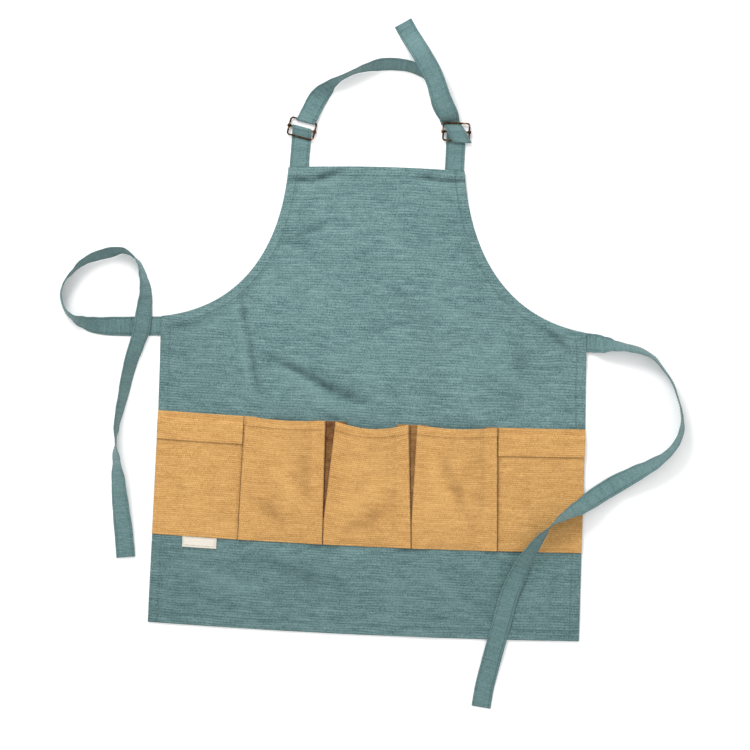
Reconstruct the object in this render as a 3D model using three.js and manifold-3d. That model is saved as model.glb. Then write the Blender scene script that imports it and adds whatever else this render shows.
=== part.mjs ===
// Gardening apron for a child, laid out flat with its ties spread, in millimetres.
// X runs across the apron, Y from the hem to the neck, Z up from the surface it lies on.
// The origin is on the back face, at the middle of the waist line.

import * as THREE from 'three';
import { mergeVertices } from 'three/addons/utils/BufferGeometryUtils.js';
import Module from 'manifold-3d';

// Cloth
const bodyWall = 1.3;
const hemWall = 2.0;
const hemWidth = 11;
const hemRamp = 4;
const pocketWall = 1.2;
const labelWall = 1.0;
const gap = 0.3;

// Body panel
const waistHalfWidth = 223.3;
const hemHalfWidth = 226.5;
const bibHalfWidth = 92.5;
const waistHeight = 9.5;
const bibHeight = 172;
const hemDepth = 313;
const bibDrift = -3.7;
const hemDrift = 1.8;
const hemSag = 3.4;
const hemSkew = 1.2;
const bibArch = 3.0;
const bibSkew = 1.6;

// Pocket band
const bandTop = -90.6;
const bandDepth = 129.7;
const pocketCount = 5;
const gussetLeaf = 12;
const leafSlot = 0.4;
const mouthPuff = 6;
const mouthDip = 6;
const bottomFold = 10;
const sidePocketPuff = 1.4;
const sideMouthDrop = 12;
const flapLength = 29.5;
const flapRise = 4;
const flapClearance = 0.5;

// Blank label in the lower seam of the band
const labelWidth = 36;
const labelLength = 11;
const labelFromSide = 32;

// Straps
const strapWidth = 20;
const strapWall = 1.0;
const tieWidth = 20;
const tieWall = 1.4;
const seamOverlap = 11;
const leftTieLength = 543;
const rightTieLength = 537;
const neckLoopRise = 70;
const neckTailLength = 122;
const lapLength = 13;

// Neck tabs and wire sliders
const tabSpacing = 163.2;
const tabLength = 40.5;
const tabWall = 1.8;
const wireRadius = 0.95;
const sliderWidth = 27.5;
const sliderLength = 18.4;
const sliderCorner = 2.5;
const collarWall = 0.7;
const collarLength = 3;
const neckSkew = Math.tan(THREE.MathUtils.degToRad(9));

// Where each slider lies: how far it is turned and how far its tab leans sideways
const sliders = [
  { side: 'left', sign: -1, turn: -12.5, lean: 1.6, threaded: false },
  { side: 'right', sign: 1, turn: 0, lean: 0.3, threaded: true },
];

// Armhole handles, as shares of the width that it takes in and the height that it climbs
const armhole = { startReach: 0.55, startClimb: 0.058, endReach: 0.06, endClimb: 0.615 };

// Lines between the pockets, moved at the top and the foot by shares of a pocket's width
const dividerShifts = [
  { top: 0.007, foot: -0.011 },
  { top: -0.033, foot: -0.017 },
  { top: -0.051, foot: 0.021 },
  { top: -0.020, foot: 0.030 },
];

// Bellows pockets: how far the front stands in from each seam at the mouth, and how deep the
// mouth hangs at its middle, as shares of the gusset leaf and the named dip
const bellows = [
  { name: 'pocket_2', insetLeft: 0.15, insetRight: 0.03, dip: 0.30 },
  { name: 'pocket_3', insetLeft: 0.80, insetRight: 0.10, dip: 1.00 },
  { name: 'pocket_4', insetLeft: 0.60, insetRight: 0.05, dip: 0.45 },
];

// Soft waves of the panel: centre and reach as shares of the half width and the hem depth, lift in mm
const waves = [
  { across: -0.16, along: 0.30, reachX: 0.26, reachY: 0.13, lift: 2.2 },
  { across: 0.20, along: 0.40, reachX: 0.20, reachY: 0.12, lift: 1.8 },
  { across: -0.62, along: -0.12, reachX: 0.20, reachY: 0.12, lift: 1.6 },
  { across: 0.60, along: -0.14, reachX: 0.24, reachY: 0.11, lift: 2.0 },
  { across: -0.45, along: -0.88, reachX: 0.25, reachY: 0.14, lift: 1.8 },
  { across: 0.30, along: -0.90, reachX: 0.22, reachY: 0.14, lift: 1.5 },
];

// Left tie from its seam: place as shares of its length, and the angle that it is banked to
const leftTieRoute = [
  { across: 0.020, along: 0.000, bank: 0 },
  { across: -0.041, along: -0.003, bank: 0 },
  { across: -0.084, along: -0.005, bank: -8 },
  { across: -0.122, along: -0.005, bank: -30 },
  { across: -0.150, along: 0.000, bank: -52 },
  { across: -0.172, along: 0.010, bank: -76 },
  { across: -0.187, along: 0.027, bank: -80 },
  { across: -0.195, along: 0.052, bank: -80 },
  { across: -0.191, along: 0.078, bank: -82 },
  { across: -0.177, along: 0.101, bank: -90 },
  { across: -0.159, along: 0.121, bank: -104 },
  { across: -0.134, along: 0.132, bank: -114 },
  { across: -0.105, along: 0.139, bank: -118 },
  { across: -0.078, along: 0.142, bank: -106 },
  { across: -0.060, along: 0.133, bank: -96 },
  { across: -0.044, along: 0.115, bank: -84 },
  { across: -0.036, along: 0.092, bank: -72 },
  { across: -0.031, along: 0.067, bank: -58 },
  { across: -0.031, along: 0.041, bank: -44 },
  { across: -0.033, along: 0.016, bank: -36 },
  { across: -0.036, along: -0.011, bank: -36 },
  { across: -0.044, along: -0.041, bank: -44 },
  { across: -0.053, along: -0.070, bank: -50 },
  { across: -0.061, along: -0.110, bank: -58 },
  { across: -0.069, along: -0.155, bank: -68 },
  { across: -0.076, along: -0.198, bank: -80 },
  { across: -0.077, along: -0.227, bank: -94 },
  { across: -0.074, along: -0.262, bank: -120 },
  { across: -0.069, along: -0.304, bank: -142 },
  { across: -0.063, along: -0.353, bank: -156 },
  { across: -0.056, along: -0.401, bank: -170 },
  { across: -0.050, along: -0.450, bank: -176 },
];

// Right tie from its seam, in the same columns
const rightTieRoute = [
  { across: -0.020, along: 0.000, bank: 0 },
  { across: 0.014, along: -0.001, bank: 0 },
  { across: 0.032, along: -0.003, bank: -14 },
  { across: 0.052, along: -0.004, bank: -60 },
  { across: 0.077, along: -0.007, bank: -112 },
  { across: 0.102, along: -0.012, bank: -112 },
  { across: 0.125, along: -0.023, bank: -96 },
  { across: 0.146, along: -0.046, bank: -80 },
  { across: 0.163, along: -0.070, bank: -82 },
  { across: 0.175, along: -0.100, bank: -84 },
  { across: 0.184, along: -0.133, bank: -88 },
  { across: 0.183, along: -0.162, bank: -100 },
  { across: 0.173, along: -0.186, bank: -116 },
  { across: 0.155, along: -0.208, bank: -128 },
  { across: 0.129, along: -0.228, bank: -144 },
  { across: 0.098, along: -0.246, bank: -158 },
  { across: 0.065, along: -0.266, bank: -166 },
  { across: 0.032, along: -0.286, bank: -158 },
  { across: 0.001, along: -0.308, bank: -138 },
  { across: -0.030, along: -0.327, bank: -110 },
  { across: -0.054, along: -0.346, bank: -84 },
  { across: -0.071, along: -0.367, bank: -60 },
  { across: -0.086, along: -0.390, bank: -46 },
  { across: -0.101, along: -0.415, bank: -34 },
  { across: -0.115, along: -0.449, bank: -18 },
  { across: -0.127, along: -0.484, bank: -8 },
  { across: -0.136, along: -0.525, bank: -4 },
  { across: -0.146, along: -0.567, bank: 0 },
  { across: -0.156, along: -0.611, bank: 0 },
  { across: -0.165, along: -0.654, bank: 0 },
  { across: -0.170, along: -0.692, bank: 0 },
];

// Neck strap between the sliders: across as a share of their spacing, up as a share of the rise
const neckRoute = [
  { across: 0.058, up: 0.280, bank: 0 },
  { across: 0.084, up: 0.423, bank: 4 },
  { across: 0.121, up: 0.550, bank: 24 },
  { across: 0.176, up: 0.683, bank: 58 },
  { across: 0.238, up: 0.780, bank: 76 },
  { across: 0.313, up: 0.870, bank: 78 },
  { across: 0.401, up: 0.945, bank: 64 },
  { across: 0.489, up: 0.987, bank: 57 },
  { across: 0.584, up: 1.000, bank: 57 },
  { across: 0.667, up: 0.980, bank: 60 },
  { across: 0.732, up: 0.935, bank: 60 },
  { across: 0.781, up: 0.850, bank: 52 },
  { across: 0.815, up: 0.700, bank: 40 },
  { across: 0.850, up: 0.540, bank: 26 },
  { across: 0.895, up: 0.380, bank: 10 },
  { across: 0.945, up: 0.255, bank: 0 },
];

// Free tail of the neck strap above the right slider, as shares of its length
const tailRoute = [
  { across: -0.034, along: 0.040, bank: 0 },
  { across: -0.075, along: 0.120, bank: 0 },
  { across: -0.115, along: 0.200, bank: 0 },
  { across: -0.150, along: 0.290, bank: -2 },
  { across: -0.185, along: 0.375, bank: -4 },
  { across: -0.222, along: 0.450, bank: -4 },
  { across: -0.278, along: 0.540, bank: 0 },
  { across: -0.328, along: 0.620, bank: 0 },
  { across: -0.388, along: 0.722, bank: 0 },
  { across: -0.448, along: 0.822, bank: 0 },
  { across: -0.500, along: 0.908, bank: 0 },
];

const wasm = await Module();
wasm.setup();

const { lerp, clamp, smoothstep, degToRad } = THREE.MathUtils;
const up = new THREE.Vector3(0, 0, 1);

const clothColor = new THREE.Color(0x6f9293);
const pocketColor = new THREE.Color(0xd7a464);
const labelColor = new THREE.Color(0xe9e3d7);
const brassColor = new THREE.Color(0x6b4c2a);

function cloth(color, roughness) {
  return new THREE.MeshStandardMaterial({ color, roughness, metalness: 0 });
}

const bodyCloth = cloth(clothColor, 0.9);
const strapCloth = cloth(clothColor, 0.88);
const pocketCloth = cloth(pocketColor, 0.9);
const labelCloth = cloth(labelColor, 0.85);
const agedBrass = new THREE.MeshStandardMaterial({ color: brassColor, roughness: 0.42, metalness: 1 });

const apron = new THREE.Group();

function addMesh(name, geometry, material, parent = apron) {
  const mesh = new THREE.Mesh(geometry, material);
  mesh.name = name;
  parent.add(mesh);
  return mesh;
}

function geometryFrom(positions, indices) {
  const geometry = new THREE.BufferGeometry();
  geometry.setAttribute('position', new THREE.Float32BufferAttribute(positions, 3));
  geometry.setIndex(indices);
  geometry.computeVertexNormals();
  return geometry;
}

// A sheet with its own thickness, from a grid of columns and rows: point gives x, y, low and high.
function sheetGeometry(columns, rows, point) {
  const positions = [];
  const indices = [];
  const index = (layer, i, j) => (layer * rows + j) * columns + i;
  for (const side of ['low', 'high']) {
    for (let j = 0; j < rows; j++) {
      for (let i = 0; i < columns; i++) {
        const at = point(i, j);
        positions.push(at.x, at.y, at[side]);
      }
    }
  }
  const quad = (a, b, c, d) => indices.push(a, b, c, a, c, d);
  for (let j = 0; j < rows - 1; j++) {
    for (let i = 0; i < columns - 1; i++) {
      quad(index(1, i, j), index(1, i + 1, j), index(1, i + 1, j + 1), index(1, i, j + 1));
      quad(index(0, i, j), index(0, i, j + 1), index(0, i + 1, j + 1), index(0, i + 1, j));
    }
  }
  const rim = [];
  for (let i = 0; i < columns - 1; i++) rim.push([i, 0]);
  for (let j = 0; j < rows - 1; j++) rim.push([columns - 1, j]);
  for (let i = columns - 1; i > 0; i--) rim.push([i, rows - 1]);
  for (let j = rows - 1; j > 0; j--) rim.push([0, j]);
  rim.forEach(([i, j], k) => {
    const [m, n] = rim[(k + 1) % rim.length];
    quad(index(0, i, j), index(0, m, n), index(1, m, n), index(1, i, j));
  });
  return geometryFrom(positions, indices);
}

// A solid through a row of like sections. The ends are filled, or the last section meets the first.
// Quads are split from each section's corner to the next corner of the section after it, and the
// other way on the sides that turned lists.
function loftGeometry(sections, endFaces, turned = []) {
  const size = sections[0].length;
  const positions = sections.flat().flatMap((p) => [p.x, p.y, p.z]);
  const indices = [];
  const closed = !endFaces;
  const spans = closed ? sections.length : sections.length - 1;
  for (let k = 0; k < spans; k++) {
    const near = k * size;
    const far = ((k + 1) % sections.length) * size;
    for (let i = 0; i < size; i++) {
      const next = (i + 1) % size;
      if (turned.includes(i)) indices.push(near + i, near + next, far + i, near + next, far + next, far + i);
      else indices.push(near + i, near + next, far + next, near + i, far + next, far + i);
    }
  }
  if (!closed) {
    const last = (sections.length - 1) * size;
    for (const [a, b, c] of endFaces) {
      indices.push(c, b, a);
      indices.push(last + a, last + b, last + c);
    }
  }
  return geometryFrom(positions, indices);
}

// Outline of the panel

const armholePoints = [
  new THREE.Vector2(waistHalfWidth, waistHeight),
  new THREE.Vector2(
    waistHalfWidth - armhole.startReach * (waistHalfWidth - bibHalfWidth),
    waistHeight + armhole.startClimb * (bibHeight - waistHeight),
  ),
  new THREE.Vector2(
    bibHalfWidth + armhole.endReach * (waistHalfWidth - bibHalfWidth),
    bibHeight - armhole.endClimb * (bibHeight - waistHeight),
  ),
  new THREE.Vector2(bibHalfWidth, bibHeight),
];
const armholeCurve = new THREE.CubicBezierCurve(...armholePoints);

// The place on the armhole curve at a height, found by halving.
function armholeAt(y) {
  let low = 0;
  let high = 1;
  for (let k = 0; k < 40; k++) {
    const middle = (low + high) / 2;
    if (armholeCurve.getPoint(middle).y < y) low = middle;
    else high = middle;
  }
  return low;
}

function halfWidthAt(y) {
  if (y <= waistHeight) {
    return lerp(waistHalfWidth, hemHalfWidth, clamp((waistHeight - y) / (waistHeight + hemDepth), 0, 1));
  }
  return armholeCurve.getPoint(armholeAt(Math.min(y, bibHeight))).x;
}

function middleAt(y) {
  if (y > waistHeight) return bibDrift * (y - waistHeight) / (bibHeight - waistHeight);
  return hemDrift * clamp((waistHeight - y) / (waistHeight - bandTop), 0, 1);
}

// How far a straight cross line of the panel is bowed and skewed where it lies.
function lineShift(share, y) {
  const below = clamp((waistHeight - y) / (waistHeight - bandTop), 0, 1);
  const above = clamp((y - waistHeight) / (bibHeight - waistHeight), 0, 1);
  const bow = bibArch * above - hemSag * below;
  const skew = bibSkew * above - hemSkew * below;
  return bow * (1 - share * share) + skew * share;
}

function panelPoint(x, y) {
  const share = clamp((x - middleAt(y)) / halfWidthAt(y), -1, 1);
  return new THREE.Vector2(x, y + lineShift(share, y));
}

// Heights of the panel

const sliderPlace = (slider) => {
  const tabX = bibDrift + slider.sign * tabSpacing / 2;
  const top = panelPoint(tabX, bibHeight).y;
  return { tabX, x: tabX + slider.lean, y: top + tabLength, top };
};

// Places where the panel is raised over the end of a strap sewn behind it
const seamLifts = [
  { x: -waistHalfWidth, y: 0, reachX: 42, reachY: 17, lift: tieWall + gap },
  { x: waistHalfWidth, y: 0, reachX: 42, reachY: 17, lift: tieWall + gap },
];
for (const slider of sliders) {
  const reach = strapWidth / 2 + 6;
  seamLifts.push({ x: sliderPlace(slider).tabX, y: bibHeight, reachX: reach, reachY: 17, lift: tabWall + gap });
}
const seamFade = 24;

function plateau(distance, reach) {
  return 1 - smoothstep(Math.abs(distance), reach, reach + seamFade);
}

function panelLow(x, y) {
  let height = 0;
  for (const lift of seamLifts) {
    const share = plateau(x - lift.x, lift.reachX) * plateau(y - lift.y, lift.reachY);
    height = Math.max(height, lift.lift * share);
  }
  for (const wave of waves) {
    const dx = (x - wave.across * waistHalfWidth) / (wave.reachX * waistHalfWidth);
    const dy = (y - wave.along * hemDepth) / (wave.reachY * hemDepth);
    const distance = Math.min(1, Math.hypot(dx, dy));
    height = Math.max(height, wave.lift * (0.5 + 0.5 * Math.cos(Math.PI * distance)));
  }
  return height;
}

// Wall of the panel beside a straight side, where the hem is folded
function sideWall(fromSide) {
  return lerp(hemWall, bodyWall, clamp((fromSide - hemWidth) / hemRamp, 0, 1));
}

function bandRest(x) {
  const y = bandTop - bandDepth / 2;
  return sideWall(halfWidthAt(y) - Math.abs(x - middleAt(y)));
}

function buildBody() {
  const rows = [-hemDepth, -hemDepth + hemWidth, -hemDepth + hemWidth + hemRamp];
  const plainRows = 17;
  for (let k = 1; k <= plainRows; k++) {
    rows.push(lerp(-hemDepth + hemWidth + hemRamp, -seamOverlap, k / plainRows));
  }
  rows.push(0, waistHeight);
  const armholeRows = [0.05, 0.12, 0.19, 0.27, 0.35, 0.44, 0.53, 0.62, 0.71, 0.79, 0.86];
  rows.push(...armholeRows.map((share) => armholeCurve.getPoint(share).y));
  rows.push(bibHeight - hemWidth - hemRamp, bibHeight - hemWidth, bibHeight);
  const innerColumns = 17;
  const lastRow = rows.length - 1;
  const leastSlope = 0.3;
  const edgeOffsets = (y) => {
    let slope = 1;
    if (y >= waistHeight) slope = Math.max(leastSlope, Math.abs(armholeCurve.getTangent(armholeAt(y)).y));
    return [0, hemWidth / slope, (hemWidth + hemRamp) / slope];
  };
  const columns = innerColumns + 5;
  const point = (i, j) => {
    const y = rows[j];
    const half = halfWidthAt(y);
    const offsets = edgeOffsets(y);
    const mirrored = columns - 1 - i;
    let fromMiddle;
    if (i < 3) fromMiddle = -half + offsets[i];
    else if (mirrored < 3) fromMiddle = half - offsets[mirrored];
    else fromMiddle = lerp(-half + offsets[2], half - offsets[2], (i - 2) / innerColumns);
    const edge = Math.min(i, mirrored, j, lastRow - j);
    const at = panelPoint(middleAt(y) + fromMiddle, y);
    const low = panelLow(at.x, y);
    const wall = edge < 2 ? hemWall : bodyWall;
    return { x: at.x, y: at.y, low, high: low + wall };
  };
  addMesh('apron_body', sheetGeometry(columns, rows.length, point), bodyCloth);
}

// Pocket band

const bandFoot = bandTop - bandDepth;
const pocketWidth = 2 * halfWidthAt(bandTop) / pocketCount;

// The seam line on the right of a pocket, counted from the left side of the apron
function dividerX(number, depthShare) {
  const row = dividerShifts[number - 1] ?? { top: 0, foot: 0 };
  const y = lerp(bandTop, bandFoot, depthShare);
  const plain = middleAt(y) + (number - pocketCount / 2) * pocketWidth;
  return plain + pocketWidth * lerp(row.top, row.foot, depthShare);
}

function addBellowsPocket(row, number) {
  const rest = bodyWall + gap;
  const leafLow = rest + pocketWall + leafSlot;
  const frontLow = leafLow + pocketWall + leafSlot;
  const depths = [0, 0.07, 0.16, 0.28, 0.42, 0.56, 0.7, 0.82, 1 - bottomFold / bandDepth, 0.97, 1];
  const frontSteps = 7;
  const rampStep = 1.6;
  const section = (depth) => {
    const y = lerp(bandTop, bandFoot, depth);
    const narrowing = Math.max(0, 1 - depth / 0.8);
    const seam = [dividerX(number - 1, depth) + gap / 2, dividerX(number, depth) - gap / 2];
    const edge = [
      seam[0] + row.insetLeft * gussetLeaf * narrowing,
      seam[1] - row.insetRight * gussetLeaf * narrowing,
    ];
    const fold = [edge[0] + gussetLeaf, edge[1] - gussetLeaf];
    const closing = smoothstep(depth, 1 - bottomFold / bandDepth, 1);
    const rampLow = [fold[0] + gap + rampStep, fold[1] - gap - rampStep];
    const put = (x, z, hang) => {
      const share = clamp((x - edge[0]) / (edge[1] - edge[0]), 0, 1);
      const dip = hang ? mouthDip * row.dip * Math.sin(Math.PI * share) * (1 - depth) : 0;
      const at = panelPoint(x, y);
      return new THREE.Vector3(at.x, at.y - dip, z);
    };
    const frontHeight = (x) => {
      const share = (2 * x - rampLow[0] - rampLow[1]) / (rampLow[1] - rampLow[0]);
      const puff = mouthPuff * (1 - Math.abs(share) ** 2.5) * (1 - depth);
      return lerp(frontLow + Math.max(0, puff), rest, closing);
    };
    const side = (k, s) => [
      put(seam[k], rest, false),
      put(fold[k], rest, false),
      put(fold[k], leafLow + pocketWall, false),
      put(edge[k] + s * pocketWall, leafLow + pocketWall, true),
      put(edge[k] + s * pocketWall, frontLow, true),
      put(fold[k] + s * gap, frontLow, true),
    ];
    const outside = (k, s) => [
      put(seam[k], rest + pocketWall, false),
      put(fold[k] - s * pocketWall, rest + pocketWall, false),
      put(fold[k] - s * pocketWall, leafLow, false),
      put(edge[k], leafLow, true),
      put(edge[k], frontLow + pocketWall, true),
      put(fold[k] + s * (gap + pocketWall), frontLow + pocketWall, true),
    ];
    const under = [];
    const over = [];
    for (let i = 0; i < frontSteps; i++) {
      const x = lerp(rampLow[0], rampLow[1], i / (frontSteps - 1));
      const inward = pocketWall * (i === 0) - pocketWall * (i === frontSteps - 1);
      under.push(put(x, frontHeight(x), true));
      over.push(put(x + inward, frontHeight(x) + pocketWall, true));
    }
    const inner = [...side(0, 1), ...under, ...side(1, -1).reverse()];
    const outer = [...outside(0, 1), ...over, ...outside(1, -1).reverse()];
    return [...inner, ...outer.reverse()];
  };
  const sections = depths.map(section);
  const half = sections[0].length / 2;
  const faces = [];
  for (let i = 0; i < half - 1; i++) {
    const back = 2 * half - 1 - i;
    faces.push([i, i + 1, back], [i + 1, back - 1, back]);
  }
  addMesh(row.name, facingOut(loftGeometry(sections, faces)), pocketCloth);
}

// Columns of a side pocket and its flap, as distances in from the side of the apron
function sideColumns(number, y, inset) {
  const left = number === 1;
  const edge = middleAt(y) + (left ? -1 : 1) * halfWidthAt(y);
  const depthShare = (bandTop - y) / bandDepth;
  const seam = left ? dividerX(1, depthShare) - gap / 2 - inset : dividerX(4, depthShare) + gap / 2 + inset;
  const width = Math.abs(seam - edge);
  const steps = 6;
  const offsets = [0, hemWidth, hemWidth + hemRamp];
  for (let k = 1; k <= steps; k++) offsets.push(lerp(hemWidth + hemRamp, width, k / steps));
  const places = offsets.map((offset) => edge + (left ? offset : -offset));
  return left ? places : places.reverse();
}

function sidePocketHeight(number, x, y) {
  const depthShare = clamp((bandTop - sideMouthDrop - y) / (bandDepth - sideMouthDrop), 0, 1);
  const columns = sideColumns(number, y, 0);
  const share = clamp((x - columns[0]) / (columns[columns.length - 1] - columns[0]), 0, 1);
  return bandRest(x) + gap + sidePocketPuff * Math.sin(Math.PI * share) * (1 - depthShare);
}

function addSidePocket(name, number) {
  const rows = 8;
  const point = (i, j) => {
    const y = lerp(bandFoot, bandTop - sideMouthDrop, j / (rows - 1));
    const columns = sideColumns(number, y, 0);
    const at = panelPoint(columns[i], y);
    const low = sidePocketHeight(number, columns[i], y);
    return { x: at.x, y: at.y, low, high: low + pocketWall };
  };
  addMesh(name, sheetGeometry(sideColumns(number, bandFoot, 0).length, rows, point), pocketCloth);
}

function addFlap(name, number, inset) {
  const drops = [0, sideMouthDrop - 2 - flapRise, sideMouthDrop - 2, 0.62 * flapLength, 0.82 * flapLength, flapLength];
  const point = (i, j) => {
    const drop = drops[drops.length - 1 - j];
    const y = bandTop - drop;
    const x = sideColumns(number, y, inset)[i];
    const at = panelPoint(x, y);
    const onPocket = sidePocketHeight(number, x, y) + pocketWall + flapClearance;
    const raised = smoothstep(drop, drops[1], drops[2]);
    const low = lerp(bandRest(x) + gap, onPocket, raised);
    return { x: at.x, y: at.y, low, high: low + pocketWall };
  };
  addMesh(name, sheetGeometry(sideColumns(number, bandTop, inset).length, drops.length, point), pocketCloth);
}

function addLabel() {
  const y = bandFoot - gap;
  const left = middleAt(y) - halfWidthAt(y) + labelFromSide;
  const columns = 4;
  const rows = 3;
  const point = (i, j) => {
    const at = panelPoint(lerp(left, left + labelWidth, i / (columns - 1)), y);
    const low = bodyWall + gap;
    return { x: at.x, y: at.y - labelLength * (1 - j / (rows - 1)), low, high: low + labelWall };
  };
  addMesh('side_label', sheetGeometry(columns, rows, point), labelCloth);
}

// Straps: a strap is a row of stations, each with its middle and the direction across it

function ribbonGeometry(stations, width, wall) {
  const sections = stations.map((station, k) => {
    const before = stations[Math.max(0, k - 1)].middle;
    const after = stations[Math.min(stations.length - 1, k + 1)].middle;
    const along = after.clone().sub(before).normalize();
    const across = station.across.clone();
    across.addScaledVector(along, -across.dot(along)).normalize();
    if (station.skewed) across.copy(station.across);
    const thick = along.clone().cross(across).normalize();
    const corner = (a, b) => station.middle.clone()
      .addScaledVector(across, a * width / 2)
      .addScaledVector(thick, b * wall / 2);
    return [corner(-1, -1), corner(-1, 1), corner(1, 1), corner(1, -1)];
  });
  // The underside is split along the same line as the top, so a twist leaves the wall its thickness.
  const underside = 3;
  return facingOut(loftGeometry(sections, [[0, 1, 2], [0, 2, 3]], [underside]));
}

// Heights that a strap rests at: the highest thing under it, spread along it and then smoothed,
// which never falls below what is there.
function spreadAndSmooth(heights, reach) {
  const window = (values, k, take) => take(values.slice(Math.max(0, k - reach), k + reach + 1));
  const spread = heights.map((_, k) => window(heights, k, (part) => Math.max(...part)));
  return spread.map((_, k) => window(spread, k, (part) => part.reduce((a, b) => a + b, 0) / part.length));
}

// Stations along a route that lies on what rest gives, banked as its table says.
function laidStations(rows, place, steps, width, wall, rest, settle) {
  const curve = new THREE.CatmullRomCurve3(rows.map(place), false, 'centripetal');
  curve.arcLengthDivisions = 600;
  const stations = [];
  for (let k = 0; k <= steps; k++) {
    const t = curve.getUtoTmapping(k / steps);
    const middle = curve.getPoint(t);
    const heading = curve.getTangent(t);
    const position = t * (rows.length - 1);
    const row = Math.min(Math.floor(position), rows.length - 2);
    const bank = degToRad(lerp(rows[row].bank, rows[row + 1].bank, smoothstep(position - row, 0, 1)));
    const left = up.clone().cross(heading).normalize();
    const across = left.multiplyScalar(Math.cos(bank)).addScaledVector(up, Math.sin(bank));
    const low = Math.abs(Math.sin(bank)) * width / 2 + Math.abs(Math.cos(bank)) * wall / 2;
    let under = 0;
    for (const side of [-1, -0.5, 0, 0.5, 1]) {
      const spot = middle.clone().addScaledVector(across, side * width / 2);
      under = Math.max(under, rest(spot.x, spot.y, k / steps));
    }
    stations.push({ middle, across, low, under });
  }
  const heights = spreadAndSmooth(stations.map((station) => station.under), settle);
  stations.forEach((station, k) => {
    station.middle.z = heights[k] + station.low;
  });
  return stations;
}

// The top of a strap that lies already, for one that crosses it
function topOfStations(stations, width, wall, reach) {
  const spots = [];
  for (const station of stations) {
    for (const side of [-1, -0.5, 0, 0.5, 1]) {
      const spot = station.middle.clone().addScaledVector(station.across, side * width / 2);
      spots.push({ x: spot.x, y: spot.y, top: spot.z + wall / 2 + gap });
    }
  }
  return (x, y) => spots.reduce(
    (top, spot) => (Math.hypot(spot.x - x, spot.y - y) < reach ? Math.max(top, spot.top) : top),
    0,
  );
}

function routeLength(rows, place) {
  return new THREE.CatmullRomCurve3(rows.map(place), false, 'centripetal').getLength();
}

// What a tie that comes back over the apron lies on
function apronTop(x, y) {
  const flat = y - lineShift(clamp((x - middleAt(y)) / halfWidthAt(y), -1, 1), y);
  const reach = 6;
  if (Math.abs(x - middleAt(flat)) > halfWidthAt(flat) + reach || flat < -hemDepth - reach) return 0;
  if (flat > bandTop + reach || flat < bandFoot - reach) return panelLow(x, flat) + hemWall + gap;
  const onPocket = sidePocketHeight(pocketCount, x, Math.min(flat, bandTop)) + pocketWall + gap;
  return Math.max(onPocket, hemWall + gap + pocketWall + gap);
}

function addTie(name, rows, sign, length) {
  const share = routeLength(rows, (row) => new THREE.Vector3(row.across, row.along, 0));
  const scale = (length + seamOverlap) / share;
  const startX = sign * (waistHalfWidth - seamOverlap);
  const first = rows[0];
  const place = (row) => new THREE.Vector3(
    startX + (row.across - first.across) * scale,
    -0.5 + (row.along - first.along) * scale,
    0,
  );
  const steps = 72;
  const settle = 3;
  const rootShare = 0.16;
  const flat = laidStations(rows, place, steps, tieWidth, tieWall, () => 0, 0);
  const rootTop = topOfStations(flat.slice(0, Math.round(rootShare * steps)), tieWidth, tieWall, 8);
  const rest = (x, y, along) => {
    if (along < 2 * rootShare) return 0;
    return sign < 0 ? rootTop(x, y) : apronTop(x, y);
  };
  const stations = laidStations(rows, place, steps, tieWidth, tieWall, rest, settle);
  addMesh(name, ribbonGeometry(stations, tieWidth, tieWall), strapCloth);
}

// A strap's path round bars seen from their ends: straight runs that touch each bar's circle.
// turn is 1 where the path goes round against the clock, -1 with it and 0 at a plain end.
function pathRoundBars(stops) {
  const runs = [];
  for (let k = 0; k < stops.length - 1; k++) {
    const from = stops[k];
    const to = stops[k + 1];
    const apart = new THREE.Vector2(to.v - from.v, to.z - from.z);
    const lean = Math.asin((to.turn * to.radius - from.turn * from.radius) / apart.length());
    const angle = apart.angle() - lean;
    const normal = new THREE.Vector2(-Math.sin(angle), Math.cos(angle));
    const touch = (stop) => new THREE.Vector2(
      stop.v - stop.turn * stop.radius * normal.x,
      stop.z - stop.turn * stop.radius * normal.y,
    );
    runs.push({ angle, start: touch(from), end: touch(to) });
  }
  const points = [];
  const runSteps = 3;
  runs.forEach((run, k) => {
    for (let i = 0; i < runSteps; i++) points.push(run.start.clone().lerp(run.end, i / runSteps));
    points.push(run.end);
    const stop = stops[k + 1];
    if (!runs[k + 1]) return;
    let sweep = (runs[k + 1].angle - run.angle) * stop.turn;
    while (sweep < 0) sweep += 2 * Math.PI;
    const arcSteps = Math.max(1, Math.round(sweep / 0.5));
    for (let i = 1; i < arcSteps; i++) {
      const angle = run.angle + stop.turn * sweep * i / arcSteps;
      points.push(new THREE.Vector2(
        stop.v + stop.turn * stop.radius * Math.sin(angle),
        stop.z - stop.turn * stop.radius * Math.cos(angle),
      ));
    }
  });
  return points;
}

// Slider heights: each bar clears what passes under it
const barReach = wireRadius + gap + strapWall / 2;
const sliderHeights = (slider) => {
  const passing = slider.threaded ? strapWall + gap : 0;
  const topBar = passing + strapWall + gap + wireRadius;
  const lowBar = passing + tabWall + gap + wireRadius;
  return { topBar, lowBar, middle: (topBar + lowBar) / 2 };
};

function sliderStations(slider, points, skew) {
  const place = sliderPlace(slider);
  const turn = degToRad(slider.turn);
  const across = new THREE.Vector3(Math.cos(turn), Math.sin(turn), 0);
  const along = new THREE.Vector3(-Math.sin(turn), Math.cos(turn), 0);
  return points.map((point) => {
    const middle = new THREE.Vector3(place.x, place.y, point.y)
      .addScaledVector(along, point.x)
      .addScaledVector(across, -point.x * skew);
    return { middle, across: across.clone(), skewed: true };
  });
}

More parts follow.
